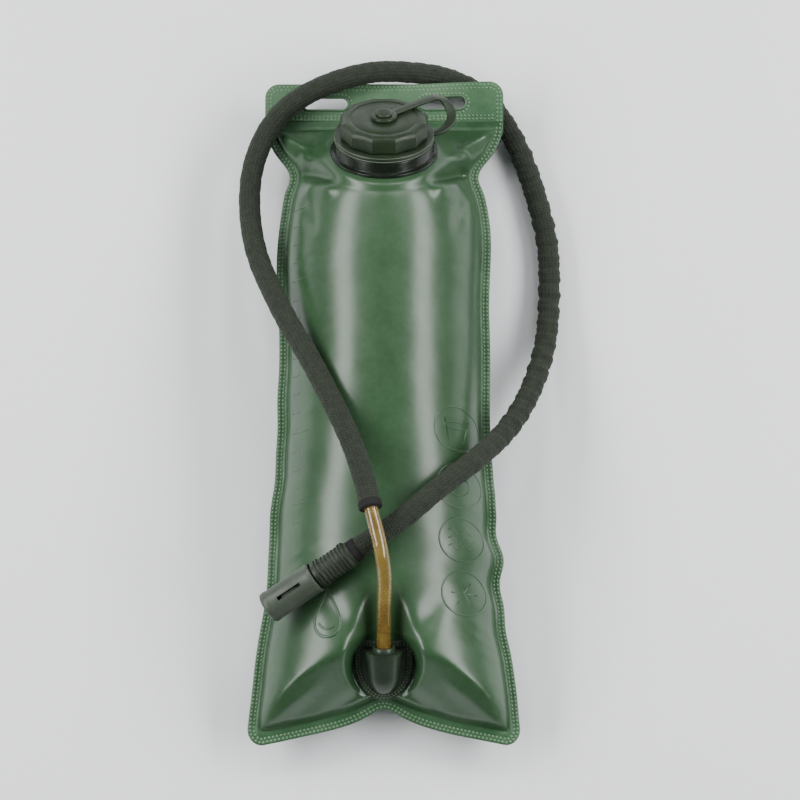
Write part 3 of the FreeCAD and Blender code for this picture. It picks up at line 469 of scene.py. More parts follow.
def front_skin():
    x, y, turn, near_end, y_middle = chamber_grid()
    closing = 1 - np.exp(-near_end / 6.5)
    height = crest_height(y_middle)
    shape = np.maximum(0.0, np.cos(turn)) ** (1.10 + 0.20 * smoothstep(90, 150, y))
    z = RIM + 0.6 + height * closing * shape
    z = lower_of(z, end_face(x, y) + 1.2 * hold_noise(x, y, 31), 1.6)
    valley = OUTLET_AT.z + (y - OUTLET_AT.y) * math.tan(OUTLET_TILT) + 0.2
    z = lower_of(z, valley + 1.25 * np.logaddexp(0, (np.abs(x) - 7) / 2.5) * 2.5, 2.4)
    rim_gap = np.minimum(edge_half(y, 1) - WELD_BAND - x, edge_half(y, -1) - WELD_BAND + x)
    lift = smoothstep(0, 14, rim_gap)
    # shoulder folds from the pinched sides up to the filler, and the hollows beside them
    for mirror in (-1, 1):
        strong = 1.0 if mirror > 0 else 0.7
        notch = mirror * PINCH_HALF
        z = z - ridge(x, y, (notch - mirror * 9, PINCH_Y + 1), (mirror * 28, PINCH_Y - 13), 3.4, 9.0 * strong)
        z = z + ridge(x, y, (notch - mirror * 8, PINCH_Y + 10), (mirror * 32, PINCH_Y + 1), 4.0, 5.5 * strong)
        below = (mirror * 30, PINCH_Y - 22)
        z = z + ridge(x, y, (notch - mirror * 12, PINCH_Y - 12), below, 5.0, 3.6 * strong)
        z = z - ridge(x, y, (notch - mirror * 8, PINCH_Y - 22), (mirror * 44, PINCH_Y - 46), 4.0, 2.4)
        z = z + ridge(x, y, (mirror * 66, TOP_WELD - 9), (mirror * 44, PINCH_Y + 12), 4.0, 2.4)
        # creases at the foot, from the outlet to the lobes and the corners
        z = z - ridge(x, y, (mirror * 16, FOOT + 30), (mirror * 40, FOOT + 15), 3.5, 2.6)
        z = z + ridge(x, y, (mirror * 72, FOOT + 12), (mirror * 36, FOOT + 38), 4.0, 2.2)
        z = z - ridge(x, y, (mirror * 17, FOOT + 58), (mirror * 40, FOOT + 92), 7.0, 1.6)
    # puckers square to the side welds
    for mirror, seed in ((-1, 3), (1, 5)):
        depth = np.where(mirror * x > 0, np.exp(-rim_gap / 9.0), 0)
        chance = np.random.RandomState(seed)
        for _ in range(34):
            place, width = chance.uniform(FOOT + 20, PINCH_Y - 20), chance.uniform(2.0, 4.5)
            slant = chance.uniform(-0.5, 0.5)
            depth_here = chance.uniform(0.3, 1.5) * chance.choice((-1, 1))
            z = z + depth_here * lift * depth * np.exp(-((y - place - slant * rim_gap) / width) ** 2)
    z = z + 0.10 * hold_noise(x, y, 11) * lift + 0.5 * hold_noise(x / 3.0, y / 3.0, 12) * lift
    z = seat_pull(x, y, z, PORT_AT, PORT_TILT, 33.0, 47.0, 0.25)
    z = seat_pull(x, y, z, OUTLET_AT, -OUTLET_TILT, 19.5, 25.0, 0.25)
    low = RIM + 0.6
    border = np.minimum(near_end, 3.0) / 3.0
    z = np.where(np.abs(turn) > math.pi / 2 - 1e-6, low, low + (np.maximum(z, low) - low) * border)
    return np.stack([x, y, z], -1)


def back_skin():
    x, y, turn, near_end, _ = chamber_grid()
    closing = 1 - np.exp(-near_end / 6.5)
    depth = 27.0 * closing * np.maximum(0.0, np.cos(turn)) ** 1.1
    rim_gap = np.minimum(edge_half(y, 1) - WELD_BAND - x, edge_half(y, -1) - WELD_BAND + x)
    z = RIM - 0.6 - depth + 0.5 * hold_noise(x, y, 21) * smoothstep(0, 14, rim_gap)
    floor = 0.15
    z = floor + np.logaddexp(0, (z - floor) / 1.2) * 1.2
    z = np.where((np.abs(turn) > math.pi / 2 - 1e-6) | (near_end < 1e-6), RIM - 0.6, np.minimum(z, RIM - 0.6))
    return np.stack([x, y, z], -1)


def skin_piece(name, grid, node):
    rows, columns = grid.shape[:2]
    index = np.arange(rows * columns).reshape(rows, columns)
    quads = np.stack([index[:-1, :-1], index[1:, :-1], index[1:, 1:], index[:-1, 1:]], -1).reshape(-1, 4)
    if name.endswith("back"):
        quads = quads[:, ::-1]
    piece = piece_from(name, grid.reshape(-1, 3), quads.tolist(), FILM)
    settle(piece, ("SOLIDIFY", {"thickness": 0.5 * MM, "offset": -1}))
    piece.data.polygons.foreach_set("use_smooth", [True] * len(piece.data.polygons))
    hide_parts(node)
    return piece


front = skin_piece("chamber_front", front_skin(), "front_film")
back = skin_piece("chamber_back", back_skin(), "back_film")


def tree_of(*pieces):
    """A search tree over some pieces' faces, in millimetres, to lay trim on their surface."""
    points, faces = [], []
    for piece in pieces:
        base = len(points)
        points += [tuple(v.co / MM) for v in piece.data.vertices]
        faces += [[base + k for k in p.vertices] for p in piece.data.polygons]
    return BVHTree.FromPolygons(points, faces)


front_tree = tree_of(front)


def on_front(x, y):
    """The front's surface under a place, and its normal."""
    spot, normal, _, _ = front_tree.ray_cast(Vector((x, y, 150)), Vector((0, 0, -1)))
    return (spot, normal) if spot else (Vector((x, y, RIM)), Vector((0, 0, 1)))


# -------------------------------------------------------------------------------- weld band and tab
def outline_loop(spacing=2.0):
    """The reservoir's edge, clockwise from the top weld's left end, as evenly spaced places."""
    places = []
    for y in np.linspace(TOP_WELD, FOOT + 10, 260):
        places.append((float(edge_half(y, 1)), float(y)))
    heel = FOOT_HALF - FOOT_CORNER
    rounded = []
    for k in np.linspace(0.08, 1, 10):
        angle = -k * math.pi / 2
        rounded.append((heel + FOOT_CORNER * math.cos(angle), FOOT + 10 + 10 * math.sin(angle)))
    places += rounded
    for k in np.linspace(0.985, -0.985, 90):
        places.append((heel * k, float(foot_line(k))))
    places += [(-x, y) for x, y in reversed(rounded)]
    for y in np.linspace(FOOT + 10, TOP_WELD, 260):
        places.append((-float(edge_half(y, -1)), float(y)))
    return resample(np.array(places), spacing)


def resample(line, spacing):
    steps = np.linalg.norm(np.diff(line, axis=0), axis=1)
    at = np.concatenate([[0], np.cumsum(steps)])
    count = max(2, int(round(at[-1] / spacing)))
    want = np.linspace(0, at[-1], count + 1)
    return np.stack([np.interp(want, at, line[:, k]) for k in range(line.shape[1])], -1)


def inward(line):
    """Unit normals that point into a clockwise outline."""
    ahead = np.gradient(line, axis=0)
    ahead /= np.linalg.norm(ahead, axis=1)[:, None]
    return np.stack([ahead[:, 1], -ahead[:, 0]], -1)


def ripple_level(x, y):
    """How the slack edge rises and falls out of the rim's plane."""
    right = smoothstep(40, 62, x) * (1.3 * np.sin(y / 6.1) * np.exp(-((y + 90) / 50) ** 2))
    left = smoothstep(40, 62, -x) * (0.7 * np.sin(y / 9.7 + 2) * np.exp(-((y + 60) / 80) ** 2))
    foot = 0.8 * np.sin(x / 9.0) * smoothstep(FOOT + 40, FOOT, y)
    return right + left + foot + tab_lift(x, y)


def tab_lift(x, y):
    """The tab's right-hand corner rides up over the hose that passes under it."""
    return 7.0 * smoothstep(8, 74, x) * smoothstep(TOP_WELD - 22, TOP_EDGE + 4, y)


def weld_band():
    """The pressed edge round the chamber, with a raised inner lip, in one ribbon."""
    edge = outline_loop()
    top = resample(np.array([(-TAB_HALF, TOP_WELD), (TAB_HALF, TOP_WELD)]), 2.0)[1:]
    edge = np.vstack([edge, top])
    into = inward(edge)
    into[-len(top):] = (0, -1)
    steps = ((0.0, 0.35), (0.4, 0.8), (1.2, 0.8), (2.2, 0.8), (3.4, 0.8), (4.6, 0.8), (5.4, 1.15), (6.2, 1.3),
             (7.2, 1.2), (8.6, 0.9))
    rings = list(steps) + [(depth, -height) for depth, height in reversed(steps)]
    points = []
    for spot, normal in zip(edge, into):
        for depth, height in rings:
            x, y = spot + normal * depth
            points.append((x, y, RIM + height + float(ripple_level(x, y)) * (1 - depth / 9)))
    faces = ring_faces(len(edge), len(rings))
    return keep_creases(piece_from("weld_band", points, faces, WELD), 70)


weld_band()


def dots(name, rows, radius, material):
    """Small pressed studs in rows on a surface, given as (place, normal) pairs."""
    rings, sides = ((1.0, 0.0), (0.8, 0.45), (0.35, 0.78)), 7
    points, faces = [], []
    for spot, normal in rows:
        up = Vector(normal).normalized()
        across = up.orthogonal().normalized()
        other = up.cross(across)
        base = len(points)
        for width, height in rings:
            for k in range(sides):
                angle = 2 * math.pi * k / sides
                offset = (across * math.cos(angle) + other * math.sin(angle)) * (radius * width)
                points.append(tuple(Vector(spot) + offset + up * (radius * height * 0.6 - 0.08)))
        points.append(tuple(Vector(spot) + up * radius * 0.5))
        for ring in range(len(rings) - 1):
            for k in range(sides):
                nxt = (k + 1) % sides
                low, high = base + ring * sides, base + (ring + 1) * sides
                faces.append((low + k, low + nxt, high + nxt, high + k))
        last = base + (len(rings) - 1) * sides
        faces += [(last + k, last + (k + 1) % sides, base + len(rings) * sides) for k in range(sides)]
        faces.append(tuple(base + k for k in reversed(range(sides))))
    return piece_from(name, points, faces, material)


def edge_dots():
    """Two rows of studs round the weld, on both faces."""
    edge = outline_loop(0.5)
    into = inward(edge)
    rows = []
    for depth, shift in ((1.7, 0), (3.9, 2)):
        line = resample(edge + into * depth, 2.5)
        for x, y in line[(1 if shift else 0):]:
            level = float(ripple_level(x, y)) * (1 - depth / 9)
            for face in (1, -1):
                rows.append(((x, y, RIM + level + face * 0.8), (0, 0, face)))
    return dots("weld_studs", rows, 0.95, STUD)


edge_dots()


def rounded_tab(inset):
    """The tab's outline from its lower left corner over the top to the lower right."""
    half, top, corner = TAB_HALF - inset, TOP_EDGE - inset, max(1.0, 9.0 - inset)
    places = [(-half, TOP_WELD)]
    for sign, start in ((-1, math.pi), (1, math.pi / 2)):
        for k in np.linspace(0, 1, 12):
            angle = start - k * math.pi / 2
            places.append((sign * (half - corner) + corner * math.cos(angle),
                           top - corner + corner * math.sin(angle)))
    places.append((half, TOP_WELD))
    return np.array(places)


SLOT_HALF, SLOT_RADIUS, SLOT_SPACING = 14.0, 3.5, 75.0
SLOT_Y = TOP_EDGE - 13


def slot_loop(side, grow, count=16):
    reach = SLOT_HALF - SLOT_RADIUS
    middle = side * SLOT_SPACING / 2
    places = []
    for sign, start in ((1, -math.pi / 2), (-1, math.pi / 2)):
        for k in np.linspace(0, 1, count):
            angle = start + k * math.pi
            places.append((middle + sign * reach + (SLOT_RADIUS + grow) * math.cos(angle),
                           SLOT_Y + (SLOT_RADIUS + grow) * math.sin(angle)))
    return np.array(places)


def tab_level(x, y):
    return RIM + float(ripple_level(x, y)) + 0.35 * math.sin(x / 13.0) * math.sin(y / 9.0)


def tab_panel():
    """The hanging tab: a plate cut with the two slots, bent a little out of flat."""
    curve = bpy.data.curves.new("tab_cut", "CURVE")
    curve.dimensions = "2D"
    curve.fill_mode = "BOTH"
    for loop in [rounded_tab(0)] + [slot_loop(side, 0.4) for side in (-1, 1)]:
        spline = curve.splines.new("POLY")
        spline.points.add(len(loop) - 1)
        for point, (x, y) in zip(spline.points, loop):
            point.co = (x, y, 0, 1)
        spline.use_cyclic_u = True
    holder = bpy.data.objects.new("tab_cut", curve)
    mesh = bpy.data.meshes.new_from_object(holder)
    bpy.data.objects.remove(holder)
    plate = bmesh.new()
    plate.from_mesh(mesh)
    bmesh.ops.triangulate(plate, faces=plate.faces[:])
    cuts_by_axis = {(1, 0, 0): np.arange(-TAB_HALF + 2, TAB_HALF, 3.0),
                    (0, 1, 0): np.arange(TOP_WELD + 2, TOP_EDGE, 3.0)}
    for axis, cuts in cuts_by_axis.items():
        for cut in cuts:
            place = [c * cut for c in axis]
            geometry = plate.verts[:] + plate.edges[:] + plate.faces[:]
            bmesh.ops.bisect_plane(plate, geom=geometry, plane_co=place, plane_no=axis)
    for vert in plate.verts:
        vert.co.z = tab_level(vert.co.x, vert.co.y)
    points = [tuple(v.co) for v in plate.verts]
    plate.verts.index_update()
    faces = [[v.index for v in f.verts] for f in plate.faces]
    piece = piece_from("tab_panel", points, faces, TAB)
    settle(piece, ("SOLIDIFY", {"thickness": 1.5 * MM, "offset": 0}))
    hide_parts("hanging_tab")
    return keep_creases(piece, 50)


tab_panel()


def bead(line, radius, closed=False, sides=8, squash=1.0):
    """The points and faces of a thin round bead along (place, normal) pairs."""
    points, faces = [], []
    count = len(line)
    for k, (spot, normal) in enumerate(line):
        back = Vector(line[k - 1 if k or closed else 0][0])
        ahead = Vector(line[(k + 1) % count if closed else min(k + 1, count - 1)][0])
        heading = (ahead - back).normalized()
        up = Vector(normal).normalized()
        across = heading.cross(up).normalized()
        for step in range(sides):
            angle = 2 * math.pi * step / sides
            offset = across * (radius * math.cos(angle)) + up * (radius * squash * math.sin(angle))
            points.append(tuple(Vector(spot) + offset))
    for k in range(count if closed else count - 1):
        after = (k + 1) % count
        for step in range(sides):
            nxt = (step + 1) % sides
            faces.append((k * sides + step, after * sides + step, after * sides + nxt, k * sides + nxt))
    if not closed:
        faces.append(tuple(reversed(range(sides))))
        faces.append(tuple((count - 1) * sides + step for step in range(sides)))
    return points, faces


def tab_trim():
    """Studs round the tab, and the raised lip with its own studs round each slot."""
    rows = []
    for depth in (1.7, 3.9):
        for x, y in resample(rounded_tab(depth), 2.5):
            for face in (1, -1):
                rows.append(((x, y, tab_level(x, y) + face * 0.75), (0, 0, face)))
    for y in (TOP_WELD + 1.2, TOP_WELD + 3.2):
        for x in np.arange(-TAB_HALF + 5, TAB_HALF - 5, 2.5):
            rows.append(((x, y, tab_level(x, y) + 0.75), (0, 0, 1)))
    for side in (-1, 1):
        for x, y in resample(slot_loop(side, 2.6), 2.4):
            rows.append(((x, y, tab_level(x, y) + 0.75), (0, 0, 1)))
    dots("tab_studs", rows, 0.9, STUD)
    points, faces = [], []
    for side in (-1, 1):
        for face in (1, -1):
            loop = slot_loop(side, 0.9)
            line = [((x, y, tab_level(x, y) + face * 0.75), (0, 0, face)) for x, y in loop]
            some, more = bead(line, 0.8, closed=True)
            faces += [[k + len(points) for k in f] for f in more]
            points += some
    piece_from("slot_lips", points, faces, TAB)


tab_trim()


# ------------------------------------------------------------------------- filler, tether and cap
def ring_profile(inner, outer, low, high):
    return [(inner, low), (outer, low), (outer, high), (inner, high)]


port_profile = [(22.2, -1.0), (22.2, 20.0), (24.2, 20.0), (24.2, 9.0), (31.5, 9.0), (31.5, 2.0), (34.0, 1.7),
                (34.0, -1.0)]
port = lathe("fill_port_ring", port_profile, port_seat, PORT, bevel=0.5, turns=144)
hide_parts("fill_port")


def helix_thread(name, seat, root, crest, low, pitch, turns, material, body):
    """A rounded thread ridge wound on a neck."""
    line = []
    for k in range(int(turns * 72) + 1):
        angle = 2 * math.pi * k / 72
        fade = min(1.0, k / 6, (turns * 72 - k) / 6)
        radius = root - 0.4 + (crest - root) * fade
        spot = seat @ Vector((radius * math.cos(angle), radius * math.sin(angle), low + pitch * k / 72))
        up = seat.to_3x3() @ Vector((math.cos(angle), math.sin(angle), 0))
        line.append((spot, up))
    points, faces = bead(line, 0.7)
    return piece_from(name, points, faces, material, body)


helix_thread("filler_thread", port_seat, 24.2, 25.2, 14.5, 4.0, 1.0, PORT, "root")

# a dark trim ring sits under the cap; its two bright lines are painted highlights, thin pale rings standing
# in for light caught on its edges
tether_profile = [(24.9, 9.0), (31.3, 9.0), (31.3, 9.7), (31.05, 9.9), (31.05, 10.3), (31.3, 10.5),
                  (31.3, 11.7), (31.05, 11.9), (31.05, 12.3), (31.3, 12.5), (31.3, 13.0), (24.9, 13.0)]
ring = lathe("tether_band", tether_profile, port_seat, TETHER, bevel=0.12, turns=144)
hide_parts("tether_ring")

# painted highlight: two thin pale rings stand in for the glints on the trim ring's edges
for level in (9.9, 12.3):
    trim = [(31.2 + 0.3 * math.cos(angle), level + 0.3 * math.sin(angle))
            for angle in np.linspace(0, 2 * math.pi, 9)[:-1]]
    lathe("ring_painted_highlight", trim, port_seat, RING_HIGHLIGHT_PAINT, bevel=0, turns=144)

FACETS = 12


def faceted(radius, height, angle):
    """Twelve rounded flats that are deepest low on the cap's skirt and run out at its top."""
    if radius < 20:
        return radius
    sector = 2 * math.pi / FACETS
    lean = math.sqrt((((angle + sector / 2) % sector) - sector / 2) ** 2 + 0.0006)
    flat = math.cos(sector / 2) / math.cos(lean)
    depth = 1.5 * (1 - 0.35 * float(smoothstep(22.0, 24.6, height))) * float(smoothstep(20, 27, radius))
    return radius * (1 - depth * (1 - flat))


cap_profile = [(26.1, 13.4), (28.1, 13.4), (28.45, 13.9), (28.5, 15.0), (28.5, 17.0), (28.5, 19.0),
               (28.5, 21.0), (28.3, 22.2), (27.7, 23.2), (26.6, 24.0), (25.0, 24.45), (22.8, 24.6),
               (21.6, 24.55), (21.1, 24.2), (20.5, 24.2), (20.0, 24.5), (14.0, 24.6), (9.0, 24.6),
               (2.0, 24.6), (0.05, 24.6), (0.05, 22.2), (12.0, 22.2), (26.1, 22.2), (26.1, 18.0)]
cap = lathe("cap_shell", cap_profile, port_seat, CAP, "cap", 288, 0, faceted)
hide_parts("fill_cap")
gasket_profile = ring_profile(21.9, 25.2, 20.1, 22.0)
gasket = lathe("cap_seal", gasket_profile, port_seat, SEAL, "cap", bevel=0.5)
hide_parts("cap_gasket")

eyelet_profile = ring_profile(3.6, 8.3, 24.9, 27.1)
eyelet = lathe("tether_eye", eyelet_profile, port_seat, TETHER, "cap_tether", bevel=0.7)
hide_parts("tether_eyelet")


def button():
    """The cap's button: a post and a low domed head with a cut crosshatch."""
    profile = [(0.05, 24.4), (3.0, 24.4), (3.0, 27.4), (5.2, 27.4), (5.25, 28.2), (4.7, 28.8),
               (3.4, 29.0), (0.05, 29.05)]
    head = lathe("cap_stud", profile, port_seat, CAP, "cap", 72, 0.12)
    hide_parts("cap_button")
    points, faces = [], []
    up = port_seat.to_3x3() @ Vector((0, 0, 1))
    for turn in (math.pi / 4, -math.pi / 4):
        for offset in (-2.4, -1.2, 0.0, 1.2, 2.4):
            reach = math.sqrt(max(0.5, 3.6 ** 2 - offset ** 2))
            line = []
            for k in np.linspace(-reach, reach, 7):
                x = k * math.cos(turn) - offset * math.sin(turn)
                y = k * math.sin(turn) + offset * math.cos(turn)
                line.append((port_seat @ Vector((x, y, 28.98)), up))
            some, more = bead(line, 0.2, sides=6)
            faces += [[k + len(points) for k in f] for f in more]
            points += some
    piece_from("stud_crosshatch", points, faces, CAP, "cap")


button()

# bearing round the filler in degrees, distance from its axis and height over its seat
STRAP = ((8, 31.1, 11), (8, 38, 12), (16, 45, 15), (27, 48, 19), (37, 45, 25.5), (37, 36, 26.6),
         (36, 22, 26.3), (36, 7.8, 26))


def spline_through(points, order, spacing):
    """Evenly spaced places on the smooth curve that a few control points pull."""
    curve = bpy.data.curves.new("guide", "CURVE")
    curve.dimensions = "3D"
    curve.resolution_u = 24
    spline = curve.splines.new("NURBS")
    spline.points.add(len(points) - 1)
    for point, place in zip(spline.points, points):
        point.co = (*place, 1)
    spline.order_u = order
    spline.use_endpoint_u = True
    holder = bpy.data.objects.new("guide", curve)
    mesh = bpy.data.meshes.new_from_object(holder)
    line = np.array([tuple(v.co) for v in mesh.vertices])
    bpy.data.objects.remove(holder)
    bpy.data.meshes.remove(mesh)
    return resample(line, spacing)


def strap():
    """The flat strap that ties the cap to the ring, looped out over the film."""
    pulls = []
    for bearing, radius, height in STRAP:
        angle = math.radians(bearing)
        pulls.append(tuple(port_seat @ Vector((radius * math.cos(angle), radius * math.sin(angle), height))))
    line = spline_through(pulls, 4, 0.8)
    ahead = np.gradient(line, axis=0)
    up_axis = np.array(PORT_AXIS)
    outline = []
    half_w, half_t, corner = 3.0, 1.0, 0.6
    for sx, sy, start in ((1, 1, 0), (-1, 1, 90), (-1, -1, 180), (1, -1, 270)):
        for k in (0, 45, 90):
            angle = math.radians(start + k)
            outline.append((sx * (half_w - corner) + corner * math.cos(angle),
                            sy * (half_t - corner) + corner * math.sin(angle)))
    points = []
    for spot, heading in zip(line, ahead):
        heading = heading / np.linalg.norm(heading)
        flat = np.cross(heading, up_axis)
        flat /= np.linalg.norm(flat)
        rise = np.cross(flat, heading)
        for a, b in outline:
            points.append(tuple(spot + flat * a + rise * b))
    count = len(outline)
    faces = ring_faces(len(line), count)
    faces.append(tuple(range(count)))
    faces.append(tuple((len(line) - 1) * count + k for k in reversed(range(count))))
    piece = piece_from("cap_strap", points, faces, TETHER, None)
    keep_creases(piece, 60)
    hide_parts("tether_strap")
    return piece, line[0] * MM, line[-1] * MM


strap_piece, strap_start, strap_end = strap()
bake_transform(strap_piece)


# ------------------------------------------------------------------------------------ hose outlet
def seat_point(x, y, z):
    return tuple(outlet_seat @ Vector((x, y, z)))


SHIELD = ((0, 18.9), (6, 19.3), (11, 19.9), (14.6, 20.0), (17.2, 18.4), (18.4, 15), (18.6, 9), (18.4, 2),
          (17.0, -5), (14.2, -11), (10.2, -16), (5.4, -19.4), (0, -20.5))


def shield_outline(inset=0.0, count=120):
    """The outlet's base in plan: square shoulders above, and sides that round in to a blunt point."""
    right = np.array(SHIELD, float)
    loop = np.vstack([right, (right * (-1, 1))[-2:0:-1]])
    wrapped = np.vstack([loop[-2:], loop, loop[:3]])
    at = np.arange(-2, len(loop) + 3)
    want = np.linspace(0, len(loop), 6 * count, endpoint=False)
    smooth = np.stack([through(list(zip(at, wrapped[:, k])), want) for k in (0, 1)], -1)
    steps = np.linalg.norm(np.diff(smooth, axis=0, append=smooth[:1]), axis=1).sum() / count
    line = resample(np.vstack([smooth, smooth[:1]]), steps)[:count]
    ahead = np.roll(line, -1, axis=0) - np.roll(line, 1, axis=0)
    ahead /= np.linalg.norm(ahead, axis=1)[:, None]
    return line + np.stack([ahead[:, 1], -ahead[:, 0]], -1) * inset


def plate_from(name, rings, seat, material, body="root"):
    """A plate built of stacked outlines, given as (outline, height) pairs, closed top and bottom."""
    points = []
    count = len(rings[0][0])
    for outline, height in rings:
        points += [tuple(seat @ Vector((x, y, height))) for x, y in outline]
    faces = ring_faces(len(rings), count)
    faces.append(tuple(reversed(range(count))))
    faces.append(tuple((len(rings) - 1) * count + k for k in range(count)))
    return piece_from(name, points, faces, material, body)


def outlet_body():
    steps = ((0.0, -0.4), (0.0, 1.3), (0.2, 1.8), (0.6, 2.2), (0.8, 2.0), (4.4, 2.0), (4.6, 2.5), (5.2, 2.6))
    rings = [(shield_outline(inset), height) for inset, height in steps]
    shield = keep_creases(plate_from("outlet_shield", rings, outlet_seat, OUTLET), 30)
    # the hood: a half cone that widens towards the hose, with a rounded nose
    points, faces = [], []
    stations = np.concatenate([np.linspace(0, 0.3, 12), np.linspace(0.34, 1, 14)])
    sides = 40
    for share in stations:
        y = -15.8 + 30.2 * share
        bulge = math.sqrt(max(0.0, 1 - (1 - min(1.0, share / 0.42)) ** 2.2))
        half = 0.4 + (7.4 + 4.0 * share) * bulge
        rise = 0.2 + (6.4 + 7.6 * share) * bulge
        for k in range(sides + 1):
            angle = math.pi * k / sides
            across = math.copysign(abs(math.cos(angle)) ** 0.8, math.cos(angle))
            points.append(seat_point(half * across, y, 2.2 + rise * math.sin(angle) ** 0.72))
    count = sides + 1
    for row in range(len(stations) - 1):
        for k in range(sides):
            a = row * count + k
            faces.append((a, a + 1, a + 1 + count, a + count))
        faces.append((row * count + sides, row * count, (row + 1) * count, (row + 1) * count + sides))
    faces.append(tuple(reversed(range(count))))
    faces.append(tuple((len(stations) - 1) * count + k for k in range(count)))
    hood = piece_from("outlet_hood", points, faces, OUTLET)
    settle(hood, weld_bevel(0.5, 3, 50))
    keep_creases(hood, 45)
    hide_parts("outlet_base")
    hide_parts("outlet_base")
    # the knurl: two rows of raised dots round the shield, in a paler tone that is painted highlight
    rows = []
    up = outlet_seat.to_3x3() @ Vector((0, 0, 1))
    for inset in (1.7, 3.4):
        ring = shield_outline(inset)
        for x, y in resample(np.vstack([ring, ring[:1]]), 2.1):
            rows.append((outlet_seat @ Vector((x, y, 1.95)), up))
    dots("outlet_knurl_painted_highlight", rows, 0.95, KNURL_PAINTED_LIGHT)


outlet_body()
BARB_HEIGHT = 9.2
outlet_turn = outlet_seat.to_3x3().to_4x4()
barb_seat = (Matrix.Translation(outlet_seat @ Vector((0, 0, BARB_HEIGHT))) @ outlet_turn
             @ Matrix.Rotation(-math.pi / 2, 4, "X"))
collar_profile = [(4.9, 14.5), (7.0, 14.5), (7.0, 17.9), (6.6, 18.5), (5.1, 18.5)]
collar = lathe("outlet_cuff", collar_profile, barb_seat, OUTLET, bevel=0.25)
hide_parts("outlet_collar")
barb_profile = [(1.6, 0.5), (3.2, 0.5), (3.2, 26.0), (2.7, 27.0), (3.5, 28.2), (2.8, 31.5), (3.4, 32.4),
                (2.6, 38.5), (1.6, 38.5)]
barb = lathe("outlet_spigot", barb_profile, barb_seat, BARB, bevel=0.15)
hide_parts("outlet_barb")
ring_round = [(4.0 + 0.9 * math.cos(angle), 13.2 + 0.9 * math.sin(angle))
              for angle in np.linspace(0, 2 * math.pi, 13)[:-1]]
seal = lathe("outlet_seal", ring_round, barb_seat, SEAL, bevel=0, turns=48)
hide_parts("outlet_o_ring")
lug_spot = outlet_seat @ Vector((0, 16.5, BARB_HEIGHT + 6.9))
dots("outlet_lug", [(lug_spot, outlet_seat.to_3x3() @ Vector((0, 0, 1)))], 1.0, BARB)


# ------------------------------------------------------------------------------------------- hose
ROUTE = ((0, -160.54, 57.22), (0, -135.43, 71.72), (1, -120, 84), (-0.8, -107, 93.5), (-3.6, -94, 98),
         (-7.2, -80.8, 98.5), (-13.5, -49.5, 92.5), (-28.5, -13.3, 82.5), (-46, 23.6, 70),
         (-66, 60.1, 53), (-80.5, 96.1, 38),
         (-87, 131.8, 30), (-82.5, 164.7, 30.5), (-67.5, 192, 33.5), (-42, 209, 34), (-14, 219, 31.5),
         (14, 221.9, 22.5), (40, 221.6, 12.2), (64, 209.6, 7.6), (81.5, 185.6, 7.2), (95, 152.6, 7.2),
         (104, 116.6, 7.2), (106, 80.6, 7.6), (103, 46.2, 14), (93.5, 11.5, 26.5), (77, -17.8, 42),
         (58, -38.6, 60), (38, -56.9, 75.5), (19, -74.5, 83), (4.5, -86.5, 85.5), (-8.5, -94.7, 84.2),
         (-19.5, -101.5, 80.6))
hose_line = spline_through(ROUTE, 3, 1.0)
hose_steps = np.concatenate([[0], np.cumsum(np.linalg.norm(np.diff(hose_line, axis=0), axis=1))])
HOSE_LENGTH = float(hose_steps[-1])
SLEEVE_FROM, SLEEVE_TO = 101.0, HOSE_LENGTH - 5.0


def frames_along(line):
    """Headings with a pair of side directions that never twist, for sweeping a round section."""
    ahead = np.gradient(line, axis=0)
    ahead /= np.linalg.norm(ahead, axis=1)[:, None]
    side = np.cross(ahead[0], (0, 0, 1.0))
    side /= np.linalg.norm(side)
    sides = []
    for heading in ahead:
        side = side - heading * side.dot(heading)
        side /= np.linalg.norm(side)
        sides.append(side)
    sides = np.array(sides)
    return ahead, sides, np.cross(ahead, sides)


def on_hose(start, end, spacing):
    at = np.linspace(start, end, max(2, int(round((end - start) / spacing)) + 1))
    return at, np.stack([np.interp(at, hose_steps, hose_line[:, k]) for k in range(3)], -1)


def swept(name, start, end, radius_at, material, sides=28, spacing=1.5, bore=None):
    """A round skin along part of the hose.  radius_at gives the radius from the length along it and
    the bearing round it; bore makes it a tube with an inner wall as well."""
    at, line = on_hose(start, end, spacing)
    _, side, other = frames_along(line)
    points, faces, flat = [], [], []
    angles = [2 * math.pi * k / sides for k in range(sides)]
    layers = [radius_at] + ([lambda s, a: bore] if bore else [])
    for layer in layers:
        for k, spot in enumerate(line):
            for angle in angles:
                r = layer(at[k], angle)
                offset = side[k] * (r * math.cos(angle)) + other[k] * (r * math.sin(angle))
                points.append(tuple(spot + offset))
                flat.append((angle * 7.0, at[k]))
    count = len(line)
    for layer in range(len(layers)):
        base = layer * count * sides
        for row in range(count - 1):
            for k in range(sides):
                nxt = (k + 1) % sides
                low, high = base + row * sides, base + (row + 1) * sides
                face = (low + k, low + nxt, high + nxt, high + k)
                faces.append(face if layer == 0 else face[::-1])
    if bore:
        inner = count * sides
        for row, flip in ((0, False), (count - 1, True)):
            for k in range(sides):
                nxt = (k + 1) % sides
                low = row * sides
                face = (low + k, inner + low + k, inner + low + nxt, low + nxt)
                faces.append(face[::-1] if flip else face)
    else:
        faces.append(tuple(reversed(range(sides))))
        faces.append(tuple((count - 1) * sides + k for k in range(sides)))
    spread = []
    for face in faces:
        us = [flat[v][0] for v in face]
        wrap = max(us) - min(us) > 20
        spread += [(u + (14 * math.pi if wrap and u < 20 else 0), flat[v][1]) for u, v in zip(us, face)]
    piece = piece_from(name, points, faces, material, flat_uv=spread)
    return keep_creases(piece, 60), line


TUBE_RADIUS, TUBE_BORE = 4.5, 3.2
tube, tube_path = swept("tube_clear", 0, HOSE_LENGTH, lambda s, angle: TUBE_RADIUS, TUBE,
                        32, 1.5, TUBE_BORE)
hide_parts("drink_tube")


